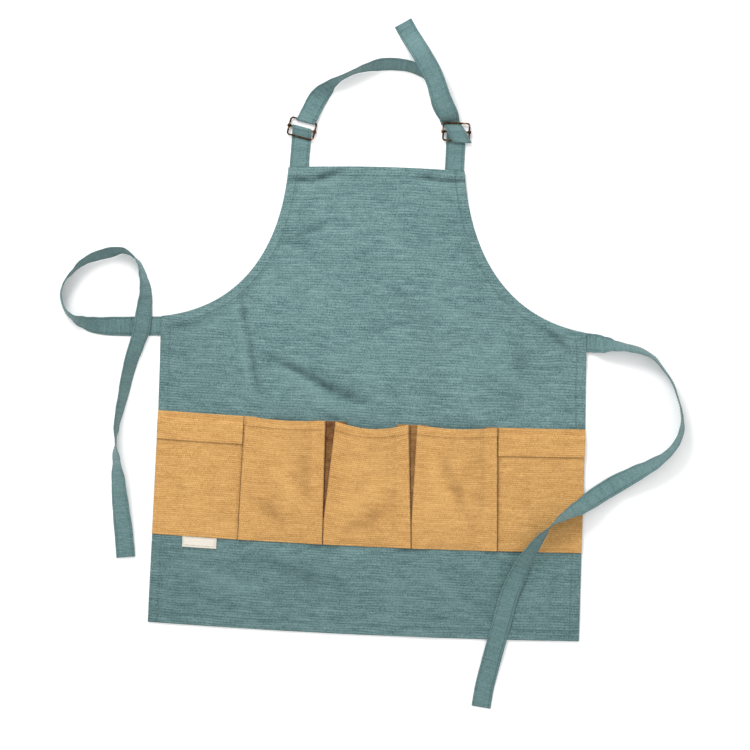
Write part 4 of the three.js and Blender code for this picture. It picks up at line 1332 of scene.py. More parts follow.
@dataclass
class PocketBand:
    """The band of five pockets: three with bellows, and a flat one under a flap at each end."""

    panel: Panel
    wall: float = 1.2
    cloth: float = 1.0
    leaf: float = 12.0
    slot: float = 0.4
    puff: float = 6.0
    dip: float = 6.0
    bottom_fold: float = 10.0
    side_puff: float = 1.4
    side_drop: float = 12.0
    flap_length: float = 29.5
    flap_rise: float = 4.0
    flap_clearance: float = 0.5
    flap_inset: float = 0.1
    flap_seam: float = 2.4
    count: int = 5
    turn_columns: int = 7
    shifts: tuple = ((0.007, -0.011), (-0.033, -0.017), (-0.051, 0.021), (-0.020, 0.030))
    bellows: tuple = (
        Bellows(2, 0.15, 0.03, 0.30, 0.10, 0.80),
        Bellows(3, 0.80, 0.10, 1.00, 0.90, 0.55),
        Bellows(4, 0.60, 0.05, 0.45, 0.70, 0.60),
    )
    front_creases: tuple = (
        (2, -96.0, -150.0, -62.0, -186.0, 8.0, 0.6), (2, -118.0, -170.0, -80.0, -206.0, 9.0, -0.5),
        (2, -70.0, -120.0, -60.0, -170.0, 6.0, -0.35), (3, -34.0, -186.0, 18.0, -154.0, 9.0, 0.7),
        (3, -20.0, -204.0, 24.0, -176.0, 8.0, -0.5), (3, -28.0, -140.0, 6.0, -128.0, 7.0, 0.4),
        (4, 58.0, -122.0, 96.0, -188.0, 8.0, 0.7), (4, 74.0, -118.0, 112.0, -196.0, 8.0, -0.5),
        (4, 46.0, -170.0, 80.0, -208.0, 8.0, 0.4),
    )

    def side_number(self, side: Side) -> int:
        """The place of the pocket at a side, counted from the left."""
        return 1 if side is Side.LEFT else self.count

    def divider(self, number: int, depth: Array) -> Array:
        """The seam line to the right of a pocket, at shares of the band's depth.

        Args:
            number: the pocket's place, from the left.
            depth: shares of the band's depth.
        """
        top, foot = self.shifts[number - 1]
        y = self.panel.band_top - depth * self.panel.band_depth
        width = 2 * float(self.panel.half_width(self.panel.band_top)) / self.count
        plain = self.panel.middle(y) + (number - self.count / 2) * width
        return plain + width * lerp(top, foot, depth)

    def side_span(self, side: Side, y: Array) -> tuple[Array, Array]:
        """The left and right ends of a side pocket at a height.

        Args:
            side: the side of the apron.
            y: places along.
        """
        depth = (self.panel.band_top - y) / self.panel.band_depth
        edge = self.panel.middle(y) + side.value * self.panel.half_width(y)
        if side is Side.LEFT:
            return edge, self.divider(1, depth) - GAP / 2
        return self.divider(4, depth) + GAP / 2, edge

    def side_height(self, side: Side, x: Array, y: Array) -> Array:
        """The underside of a side pocket: a half sine across it that fades towards its foot.

        Args:
            side: the side of the apron.
            x: places across.
            y: places along.
        """
        run = self.panel.band_depth - self.side_drop
        depth = np.clip((self.panel.band_top - self.side_drop - y) / run, 0, 1)
        first, last = self.side_span(side, y)
        share = np.clip((x - first) / (last - first), 0, 1)
        return self.panel.band_rest(x) + GAP + self.side_puff * np.sin(np.pi * share) * (1 - depth)

    def pleat(
        self, shape: Bellows, sign: int, depth: Array, levels: list[Array]
    ) -> tuple[list[tuple], tuple]:
        """Half of a bellows pocket's section, from a seam to the front.

        It goes in from the seam along the panel, round a half turn, back out along the leaf and
        round another half turn.

        Args:
            shape: the pocket's own shape.
            sign: 1 for the left half and -1 for the right one.
            depth: shares of the band's depth, one a row.
            levels: the heights of the three layers.

        Returns:
            Four blocks of columns, each with x, z and its share of the mouth's dip, and then the
            places of the front's edge, the fold and where the front starts.
        """
        seam_number = shape.number - 1 if sign == 1 else shape.number
        inset = shape.inset_left if sign == 1 else shape.inset_right
        turn = (levels[1] - levels[0]) / 2
        seam = self.divider(seam_number, depth) + sign * GAP / 2
        edge = seam + sign * inset * self.leaf * np.maximum(0, 1 - depth / 0.8)
        fold = edge + sign * self.leaf
        bend_in = fold - sign * (self.wall / 2 + turn)
        bend_out = edge + sign * (self.wall / 2 + turn)
        share = np.linspace(0, 1, 7)[None]
        angle = np.linspace(-np.pi / 2, np.pi / 2, self.turn_columns + 2)[None, 1:-1]
        aside, rise = sign * turn * np.cos(angle), turn * np.sin(angle)
        blocks = [
            (lerp(seam, bend_in, share), levels[0] + 0 * share, 0 * share),
            (bend_in + aside, (levels[0] + levels[1]) / 2 + rise, 0 * angle),
            (lerp(bend_in, bend_out, share), levels[1] + 0 * share, share),
            (bend_out - aside, (levels[1] + levels[2]) / 2 + rise, 0 * angle + 1),
        ]
        return blocks, (edge, fold, bend_out)

    def bellows_parts(self, shape: Bellows) -> dict:
        """The grids of a bellows pocket.

        Its section is one line: the left pleat, the front and the right pleat. The wall stands
        square to it on both sides.

        Args:
            shape: the pocket's own shape.
        """
        panel = self.panel
        rows = edge_grid(panel.band_depth, 92)[::-1]
        down = rows[:, None]
        depth = down / panel.band_depth
        y = panel.band_top - down
        pressed = smoothstep(depth, 0.7, 1)
        step = lerp(self.wall + self.slot, 0.95, pressed)
        levels = [panel.wall + GAP + self.wall / 2 + k * step for k in range(3)]
        left, (edge_left, fold_left, out_left) = self.pleat(shape, 1, depth, levels)
        right, (edge_right, fold_right, out_right) = self.pleat(shape, -1, depth, levels)
        across = np.linspace(0, 1, 86)[None]
        front_x = lerp(out_left, out_right, across)
        first, last = fold_left + GAP + 1.6, fold_right - GAP - 1.6
        from_middle = (2 * front_x - first - last) / (last - first)
        puff = np.maximum(0, self.puff * (1 - np.abs(from_middle) ** 2.5) * (1 - depth))
        closing = smoothstep(depth, 1 - self.bottom_fold / panel.band_depth, 1)
        inside = smoothstep(front_x - fold_left, 0.5, 7) * smoothstep(fold_right - front_x, 0.5, 7)
        front_z = levels[2] + puff - closing * inside * (levels[2] - levels[0])
        creases = [row[1:] for row in self.front_creases if row[0] == shape.number]
        free = np.sin(np.pi * np.clip(depth, 0.04, 0.96)) * np.sin(np.pi * across) ** 0.5
        front_y = y + 0 * front_x
        soft = crease_field(front_x, front_y, creases)
        soft = soft + 0.22 * ripple(front_x, front_y, 26, shape.number)
        front_z = front_z + np.maximum(soft, -0.35) * free
        blocks = []
        for k, (x, z, weight) in enumerate([*left, (front_x, front_z, 1.0), *right[::-1]]):
            share = np.clip((x - edge_left) / (edge_right - edge_left), 0, 1)
            drop = weight * shape.dip * self.dip * np.sin(np.pi * share) * (1 - depth)
            block = np.stack(np.broadcast_arrays(x, z, drop))
            blocks.append(block[..., ::-1] if k > len(left) else block)
        x, z, drop = np.concatenate(blocks, axis=2)
        slope = unit(np.stack([np.gradient(x, axis=1), 0 * x, np.gradient(z, axis=1)], -1))
        normal = np.stack([-slope[..., 2], slope[..., 1], slope[..., 0]], -1)
        hem = 1 - smoothstep(down, POCKET_HEM, POCKET_HEM + 2)
        half = lerp(lerp(self.cloth * 0.9, 0.75, pressed), self.wall, hem) / 2
        half = half * rounding(np.minimum(down, panel.band_depth - down), 0.6)
        half = half - 0.06 * np.exp(-(((down - POCKET_HEM) / 0.8) ** 2))
        centre = panel.lay(x, y + 0 * x, z)
        centre[..., 1] -= drop
        steps = [np.diff(part, axis=1, prepend=part[:, :1]) for part in (x, z)]
        run = np.cumsum(np.hypot(*steps), axis=1)
        sides = sum(block.shape[2] for block in blocks[: len(left)])
        count = x.shape[1]
        column = np.arange(count)
        front = (column >= sides) & (column < count - sides)
        # Painted shade inside the pleats, lighter on their turns, and in the grooves of the front's
        # wrinkles; painted highlight on the wrinkles' crests.
        inner = np.where(column < count / 2, shape.pleat_shade_left, shape.pleat_shade_right)
        painted_shade = np.where(front, 0.0, inner) * (1 - 0.2 * depth)
        from_end = np.minimum(column, count - 1 - column)
        turned = (from_end >= sides - self.turn_columns) & ~front
        painted_shade = np.where(turned, 0.3 * inner, painted_shade)
        painted_highlight = np.zeros_like(x)
        painted_shade[:, front] += np.clip(-soft * free * 0.7, 0, 0.45)
        painted_highlight[:, front] = np.clip(soft * free * 0.8, 0, 0.7)
        return {
            "low": centre - normal * half[..., None],
            "high": centre + normal * half[..., None],
            "maps": {
                "cloth": np.stack([run + 300 * shape.number, y + 0 * run], -1),
                "mouth_hem": np.stack([down + 0 * run, run], -1),
            },
            "shades": {"painted_shade": painted_shade, "painted_highlight": painted_highlight},
            "front": front,
            "rows": rows,
            "normal": normal,
        }

    def add_bellows(self, shape: Bellows) -> None:
        """Makes one bellows pocket and the stitches of its mouth and foot.

        Args:
            shape: the pocket's own shape.
        """
        grid = self.bellows_parts(shape)
        name = f"pocket_{shape.number}"
        surface = shell(grid["low"], grid["high"], grid["maps"], grid["shades"])
        piece = make_piece(f"{name}_cloth", surface, TAN, [name])
        high, normal = (grid[key][:, grid["front"]] for key in ("high", "normal"))
        seams = [
            row_seam(high, normal, grid["rows"], level, margin)
            for level, margin in ((POCKET_HEM, 3), (self.panel.band_depth - POCKET_FOOT, 1))
        ]
        make_piece(f"{name}_stitching", joined_all(seams), TAN_THREAD)

    def flat_cloth(
        self, x: Array, y: Array, base: Array, inward: Array
    ) -> tuple[Array, Array]:
        """The underside and top of flat cloth.

        Args:
            x: places across.
            y: places along.
            base: the height of what it lies on.
            inward: the distance from the nearest edge.
        """
        half = self.cloth / 2 * rounding(inward, 0.6)
        middle = base + self.wall / 2
        return self.panel.lay(x, y, middle - half), self.panel.lay(x, y, middle + half)

    def side_grid(self, side: Side, y: Array, inset: float) -> Array:
        """Places across a side pocket or flap, closer together near both ends.

        Args:
            side: the side of the apron.
            y: the rows' places along.
            inset: how far the inner end stands in from the divider.
        """
        first, last = self.side_span(side, y)
        if side is Side.LEFT:
            last = last - inset
        else:
            first = first + inset
        near, start = np.array(NEAR_EDGE[:-1]), NEAR_EDGE[-1]
        inner = lerp(first + start, last - start, np.linspace(0, 1, 62)[None])
        return np.hstack([first + near, inner, last - near[::-1]])

    def add_side_pocket(self, side: Side) -> None:
        """Makes the flat pocket at one side, with the stitches along its foot.

        Args:
            side: the side of the apron.
        """
        panel = self.panel
        inner = np.linspace(NEAR_EDGE[-1], panel.band_depth - self.side_drop, 84)
        rows = panel.band_foot + np.concatenate([NEAR_EDGE[:-1], inner])
        y = rows[:, None]
        x = self.side_grid(side, y, 0)
        y = y + 0 * x
        number = self.side_number(side)
        edge = np.minimum(x - x[:, :1], x[:, -1:] - x)
        soft = 0.16 * ripple(x, y, 30, 20 + number) + 0.10 * ripple(x, y, 12, 40 + number)
        free = smoothstep(edge, 2, 16) * smoothstep(y, panel.band_foot + 4, panel.band_foot + 20)
        under_flap = panel.band_top - self.flap_length
        free = free * (1 - smoothstep(y, under_flap - 10, under_flap))
        base = self.side_height(side, x, y) + np.maximum(soft, -0.12) * free
        low, high = self.flat_cloth(x, y, base, np.minimum(edge, y - panel.band_foot))
        maps = {
            "cloth": np.stack([x, y], -1),
            "mouth_hem": np.stack([panel.band_top - y + 40, x], -1),
        }
        divider = x[:, -1:] - x if side is Side.LEFT else x - x[:, :1]
        # Painted shade beside the divider seam and in the grooves of the wrinkles.
        painted_shade = 0.18 * np.exp(-((divider / 2.5) ** 2)) + np.clip(-soft * free * 0.5, 0, 0.3)
        surface = shell(low, high, maps, {"painted_shade": painted_shade})
        name = f"pocket_{number}"
        piece = make_piece(f"{name}_cloth", surface, TAN, [name])
        up = np.broadcast_to(UP, high.shape)
        seam = row_seam(high, up, rows - panel.band_foot, POCKET_FOOT, 3)
        make_piece(f"{name}_stitching", seam, TAN_THREAD)

    def add_flap(self, side: Side) -> None:
        """Makes the flap that lies on the panel at its seam and on a side pocket below it.

        Args:
            side: the side of the apron.
        """
        panel = self.panel
        drops = edge_grid(self.flap_length, 34)[::-1]
        y = (panel.band_top - drops)[:, None]
        x = self.side_grid(side, y, self.flap_inset)
        drop = drops[:, None] + 0 * x
        y = y + 0 * x
        on_pocket = self.side_height(side, x, y) + self.wall + self.flap_clearance
        start = self.side_drop - 2 - self.flap_rise
        raised = smoothstep(drop, start, self.side_drop - 2)
        base = lerp(panel.band_rest(x) + GAP, on_pocket, raised)
        curl = 0.45 * smoothstep(drop, self.flap_length - 8, self.flap_length)
        soft = 0.12 * ripple(x, y, 22, 60 + side.value) * smoothstep(drop, 12, 18)
        edge = np.minimum(x - x[:, :1], x[:, -1:] - x)
        inward = np.minimum(edge, np.minimum(drop, self.flap_length - drop))
        low, high = self.flat_cloth(x, y, base + curl + np.maximum(soft, -0.1), inward)
        maps = {
            "cloth": np.stack([x, y + 50], -1),
            "mouth_hem": np.stack([drop + self.flap_length, x], -1),
        }
        name = f"flap_{side.name.lower()}"
        piece = make_piece(f"{name}_cloth", shell(low, high, maps), TAN, [name])
        up = np.broadcast_to(UP, high.shape)
        levels = (self.flap_seam, self.flap_length - STRAP_SEAM)
        seams = [row_seam(high, up, drops, level, 4) for level in levels]
        make_piece(f"{name}_stitching", joined_all(seams), TAN_THREAD)

    def build(self) -> None:
        """Makes all five pockets and both flaps."""
        for shape in self.bellows:
            self.add_bellows(shape)
        for side in Side:
            self.add_side_pocket(side)
            self.add_flap(side)


@dataclass
class SideLabel:
    """The small blank label that hangs from the band's lower seam."""

    panel: Panel
    width: float = 36.0
    length: float = 11.0
    wall: float = 1.0
    from_side: float = 32.0

    def build(self) -> None:
        """Makes the label as a folded tape with a soft bow."""
        panel = self.panel
        top = panel.band_foot - GAP
        left = float(panel.middle(top) - panel.half_width(top)) + self.from_side
        near = (0.0, 0.15, 0.4, 0.8, 1.4)
        across = edge_grid(self.width, 40, near)
        x, drop = np.meshgrid(left + across, edge_grid(self.length, 16, near)[::-1])
        y = np.full_like(x, top)
        from_side = np.minimum(across, self.width - across)
        inward = np.minimum(from_side, np.minimum(drop, self.length - drop))
        bow = 0.35 * (drop / self.length) ** 2 * (1 + 0.5 * np.sin(x / 6))
        half = self.wall / 2 * rounding(inward, 0.5)
        base = panel.wall + GAP + self.wall / 2 + bow
        low = panel.lay(x, y, base - half)
        high = panel.lay(x, y, base + half)
        for face in (low, high):
            face[..., 1] -= drop
        maps = {"cloth": np.stack([x, drop], -1), "selvage": np.stack([inward, x], -1)}
        piece = make_piece("label_tape", shell(low, high, maps), LABEL, ["side_label"])


# Straps


@dataclass
class Stations:
    """A strap as a row of places with the direction across it at each."""

    middle: Array
    across: Array

    def joined(self, other: "Stations") -> "Stations":
        """This row and then another one."""
        middle = np.vstack([self.middle, other.middle])
        return Stations(middle, np.vstack([self.across, other.across]))

    def part(self, share: slice) -> "Stations":
        """Some of the row."""
        return Stations(self.middle[share], self.across[share])

    def oriented(self) -> "Stations":
        """The same row, with no direction turned round against the one before it."""
        dots = np.einsum("ij,ij->i", self.across[1:], self.across[:-1])
        signs = np.concatenate([[1.0], np.cumprod(np.where(dots < 0, -1.0, 1.0))])
        return Stations(self.middle, self.across * signs[:, None])

    def spots(self, width: float) -> Array:
        """Five places across the strap at each station."""
        offsets = np.array([-1, -0.5, 0, 0.5, 1]) * width / 2
        return self.middle[:, None] + self.across[:, None] * offsets[:, None]

    def top_of(self, width: float, wall: float, reach: float) -> Rest:
        """Says how high a strap has to lie where it crosses this one.

        Args:
            width: this strap's width.
            wall: its thickness.
            reach: how near a crossing place has to be.

        Returns:
            A function for that height.
        """
        spots = self.spots(width).reshape(-1, 3)

        def top(x: Array, y: Array, _share: Array) -> Array:
            """The highest spot within reach of each place, or 0."""
            away = np.hypot(x[..., None] - spots[:, 0], y[..., None] - spots[:, 1])
            return np.where(away < reach, spots[:, 2] + wall / 2 + GAP, 0.0).max(axis=-1)

        return top


def spread_and_smooth(heights: Array, reach: int) -> Array:
    """The highest value within reach of each place, then the mean of those within reach.

    Args:
        heights: the row of heights.
        reach: the number of places to each side.
    """
    if reach == 0:
        return heights
    window = 2 * reach + 1
    view = np.lib.stride_tricks.sliding_window_view
    spread = view(np.pad(heights, reach, mode="edge"), window).max(axis=-1)
    return view(np.pad(spread, reach, mode="edge"), window).mean(axis=-1)


def bare_floor(x: Array, _y: Array, _share: Array) -> Array:
    """The height of what is under a strap on the bare floor."""
    return 0 * x


def route_points(table: Array) -> Array:
    """The places of a route's rows, at a height of 0."""
    return np.column_stack([table[:, :2], np.zeros(len(table))])


def route_length(table: Array) -> float:
    """The length of the smooth curve through a route's places."""
    return run_length(centripetal(route_points(table), np.linspace(0, 1, ROUTE_TIMES)))[-1]


def laid_stations(
    table: Array, steps: int, width: float, wall: float, rest: Rest, settle: int
) -> Stations:
    """A strap that lies along a route, banked as the route says.

    Args:
        table: rows of x, y and bank in degrees.
        steps: the number of steps along the strap, all of one length.
        width: the strap's width.
        wall: its thickness.
        rest: gives the height of what is under a place.
        settle: over how many steps the height evens out.
    """
    points = route_points(table)
    times = np.linspace(0, 1, ROUTE_TIMES)
    run = run_length(centripetal(points, times))
    share = np.linspace(0, 1, steps + 1)
    at = np.interp(share * run[-1], run, times)
    middle = centripetal(points, at)
    ahead = centripetal(points, np.clip(at + 1e-4, 0, 1))
    heading = unit(ahead - centripetal(points, np.clip(at - 1e-4, 0, 1)))
    position = at * (len(table) - 1)
    row = np.minimum(position.astype(int), len(table) - 2)
    bank = np.radians(lerp(table[row, 2], table[row + 1, 2], smoothstep(position - row, 0, 1)))
    left = np.stack([-heading[:, 1], heading[:, 0], 0 * bank], -1)
    across = left * np.cos(bank)[:, None] + UP * np.sin(bank)[:, None]
    low = np.abs(np.sin(bank)) * width / 2 + np.abs(np.cos(bank)) * wall / 2
    stations = Stations(middle, across)
    spots = stations.spots(width)
    under = rest(spots[..., 0], spots[..., 1], share[:, None]).max(axis=1)
    middle[:, 2] = spread_and_smooth(np.maximum(under, 0), settle) + low
    return stations


@dataclass
class Ribbon:
    """A flat strap made over a row of stations.

    Its section is a thin rectangle with round edges, a little hollow across. The cloth crumples
    along it by a soft wave field.
    """

    stations: Stations
    width: float
    wall: float
    skewed: Array
    cup: float = 0.25
    crumple: float = 0.22
    seed: int = 0
    columns: int = 17

    def __post_init__(self) -> None:
        """Works out the two grids of the strap."""
        middle = self.stations.middle
        count = len(middle)
        after = middle[np.minimum(np.arange(count) + 1, count - 1)]
        before = middle[np.maximum(np.arange(count) - 1, 0)]
        along = unit(after - before)
        across = self.stations.across
        square = unit(across - along * np.einsum("ij,ij->i", across, along)[:, None])
        across = np.where(self.skewed[:, None], across, square)
        thick = unit(np.cross(across, along))
        share = np.sin(np.linspace(-np.pi / 2, np.pi / 2, self.columns))[None]
        run = run_length(middle)[:, None]
        ends = np.minimum(run, run[-1] - run)
        plain = smoothstep(ends, 0, 14) * (1 - 0.92 * self.skewed[:, None])
        self.run = run + 0 * share
        self.place = share * self.width / 2 + 0 * run
        wave = ripple(self.run, self.place, 26, self.seed)
        fine = ripple(self.run, self.place, 9, self.seed + 1)
        offset = (self.cup * (share**2 - 0.5) + self.crumple * (wave + 0.35 * fine)) * plain
        half = self.wall / 2 * np.maximum(np.sqrt(1 - np.abs(share) ** 9), 0.14)
        half = half * rounding(ends, 0.8)
        from_edge = (1 - np.abs(share)) * self.width / 2
        half = half - 0.05 * np.exp(-(((from_edge - STRAP_SEAM) / 0.7) ** 2)) * plain
        centre = middle[:, None] + across[:, None] * (share * self.width / 2)[..., None]
        centre = centre + thick[:, None] * offset[..., None]
        self.low = centre - thick[:, None] * half[..., None]
        self.high = centre + thick[:, None] * half[..., None]
        lowest = np.minimum(self.low[..., 2], self.high[..., 2]).min(axis=1)
        raised = np.maximum(0, FLOOR_GAP - lowest)[:, None]
        for face in (self.low, self.high):
            face[..., 2] += raised
        self.normal = np.broadcast_to(thick[:, None], centre.shape)

    def surface(self) -> Surface:
        """The strap as a closed sheet."""
        maps = {
            "cloth": np.stack([self.place, self.run], -1),
            "selvage": np.stack([self.width / 2 - np.abs(self.place), self.run], -1),
        }
        return shell(self.low, self.high, maps)

    def length(self) -> float:
        """The strap's length along its middle."""
        return float(self.run[-1, 0])

    def line(self, start: float, stop: float, inset: float = STRAP_SEAM) -> Surface:
        """Sews along the strap through both faces.

        Args:
            start: the length where the stitches begin.
            stop: the length where they end.
            inset: their distance from the strap's edge.

        Returns:
            The stitches.
        """
        keep = (self.run[:, 0] >= start) & (self.run[:, 0] <= stop)
        column = int(np.abs(self.place[0] - (self.width / 2 - inset)).argmin())
        faces = (self.high, self.low, self.normal)
        return stitched_through(*(face[keep, column] for face in faces))

    def bar(self, at: float, margin: float = 2.0) -> Surface:
        """Sews straight across the strap through both faces.

        Args:
            at: the length where the stitches lie.
            margin: their distance from the strap's edges.

        Returns:
            The stitches.
        """
        row = int(np.abs(self.run[:, 0] - at).argmin())
        keep = np.abs(self.place[row]) <= self.width / 2 - margin
        return stitched_through(*(face[row, keep] for face in (self.high, self.low, self.normal)))


@dataclass
class WaistTie:
    """One waist tie: a narrow double strap sewn behind the hem at the waist."""

    side: Side
    length: float
    panel: Panel
    band: PocketBand
    route: tuple
    width: float = STRAP_WIDTH
    wall: float = 1.4
    overlap: float = 11.0
    root: float = 0.16
    steps: int = 430
    settle: int = 18

    def apron_top(self, x: Array, y: Array) -> Array:
        """The height of what the tie lies on where it comes back over the apron.

        Args:
            x: places across.
            y: places along.
        """
        panel = self.panel
        flat = y - panel.line_shift(x, y)
        beside = np.abs(x - panel.middle(flat)) > panel.half_width(flat) + 6
        outside = beside | (flat < -panel.hem_depth - 6)
        on_body = panel.low(x, flat) + panel.hem_wall + GAP
        under_mouth = np.minimum(flat, panel.band_top)
        pocket = self.band.side_height(Side.RIGHT, x, under_mouth) + self.band.wall + GAP
        on_pocket = np.maximum(pocket, panel.hem_wall + GAP + self.band.wall + GAP)
        on_band = (flat <= panel.band_top + 6) & (flat >= panel.band_foot - 6)
        return np.where(outside, 0.0, np.where(on_band, on_pocket, on_body))

    def stations(self) -> Stations:
        """Where the tie lies."""
        table = np.array(self.route, float)
        scale = (self.length + self.overlap) / route_length(table)
        start = self.side.value * (self.panel.waist_half - self.overlap)
        table[:, 0] = start + (table[:, 0] - table[0, 0]) * scale
        table[:, 1] = self.panel.tie_box[1] + (table[:, 1] - self.route[0][1]) * scale
        flat = laid_stations(table, self.steps, self.width, self.wall, bare_floor, 0)
        root = flat.part(slice(0, round(self.root * self.steps)))
        root_top = root.top_of(self.width, self.wall, 8)

        def rest(x: Array, y: Array, share: Array) -> Array:
            """What is under the tie: nothing near its root, then its own root or the apron."""
            under = root_top(x, y, share) if self.side is Side.LEFT else self.apron_top(x, y)
            return np.where(share < 2 * self.root, 0.0, under)

        return laid_stations(table, self.steps, self.width, self.wall, rest, self.settle)

    def build(self) -> None:
        """Makes the tie and its stitches."""
        stations = self.stations()
        plain = np.zeros(len(stations.middle), bool)
        seed = 80 + self.side.value
        ribbon = Ribbon(stations, self.width, self.wall, plain, seed=seed, crumple=0.3)
        name = self.side.name.lower()
        nodes = [f"waist_tie_{name}"]
        piece = make_piece(f"tie_{name}_cloth", ribbon.surface(), STRAP, nodes)
        total = ribbon.length()
        bars = [total - from_tip for from_tip in TIP_BARS] + [self.overlap + 3.5]
        seams = [ribbon.line(self.overlap + 2, total - 3), *map(ribbon.bar, bars)]
        make_piece(f"tie_{name}_stitching", joined_all(seams), BODY_THREAD)


LEFT_TIE_ROUTE = (
    (0.020, 0.000, 0), (-0.041, -0.003, 0), (-0.084, -0.005, -8), (-0.122, -0.005, -30),
    (-0.150, 0.000, -52), (-0.172, 0.010, -76), (-0.187, 0.027, -80), (-0.194, 0.051, -80),
    (-0.188, 0.075, -82), (-0.173, 0.097, -90), (-0.154, 0.115, -104), (-0.131, 0.127, -114),
    (-0.104, 0.136, -118), (-0.078, 0.141, -106), (-0.060, 0.133, -96), (-0.044, 0.115, -84),
    (-0.036, 0.092, -72), (-0.031, 0.067, -58), (-0.031, 0.041, -44), (-0.033, 0.016, -36),
    (-0.036, -0.011, -36), (-0.044, -0.041, -44), (-0.053, -0.070, -50), (-0.061, -0.110, -58),
    (-0.069, -0.155, -68), (-0.076, -0.198, -80), (-0.077, -0.227, -94), (-0.074, -0.262, -120),
    (-0.069, -0.304, -142), (-0.063, -0.353, -156), (-0.056, -0.401, -170), (-0.050, -0.450, -176),
)

RIGHT_TIE_ROUTE = (
    (-0.020, 0.000, 0), (0.014, -0.001, -8), (0.032, -0.003, -30), (0.053, -0.004, -56),
    (0.078, -0.007, -66), (0.102, -0.012, -70), (0.125, -0.023, -77), (0.146, -0.046, -80),
    (0.163, -0.070, -82), (0.175, -0.100, -84), (0.184, -0.133, -88), (0.183, -0.162, -100),
    (0.173, -0.186, -103), (0.155, -0.207, -110), (0.129, -0.226, -126), (0.098, -0.244, -144),
    (0.064, -0.264, -162), (0.032, -0.285, -158), (0.001, -0.308, -138), (-0.030, -0.327, -110),
    (-0.054, -0.346, -84), (-0.071, -0.367, -60), (-0.086, -0.390, -46), (-0.101, -0.415, -34),
    (-0.115, -0.449, -18), (-0.127, -0.484, -8), (-0.136, -0.525, -4), (-0.146, -0.567, 0),
    (-0.156, -0.611, 0), (-0.165, -0.654, 0), (-0.170, -0.692, 0),
)


# Neck fittings


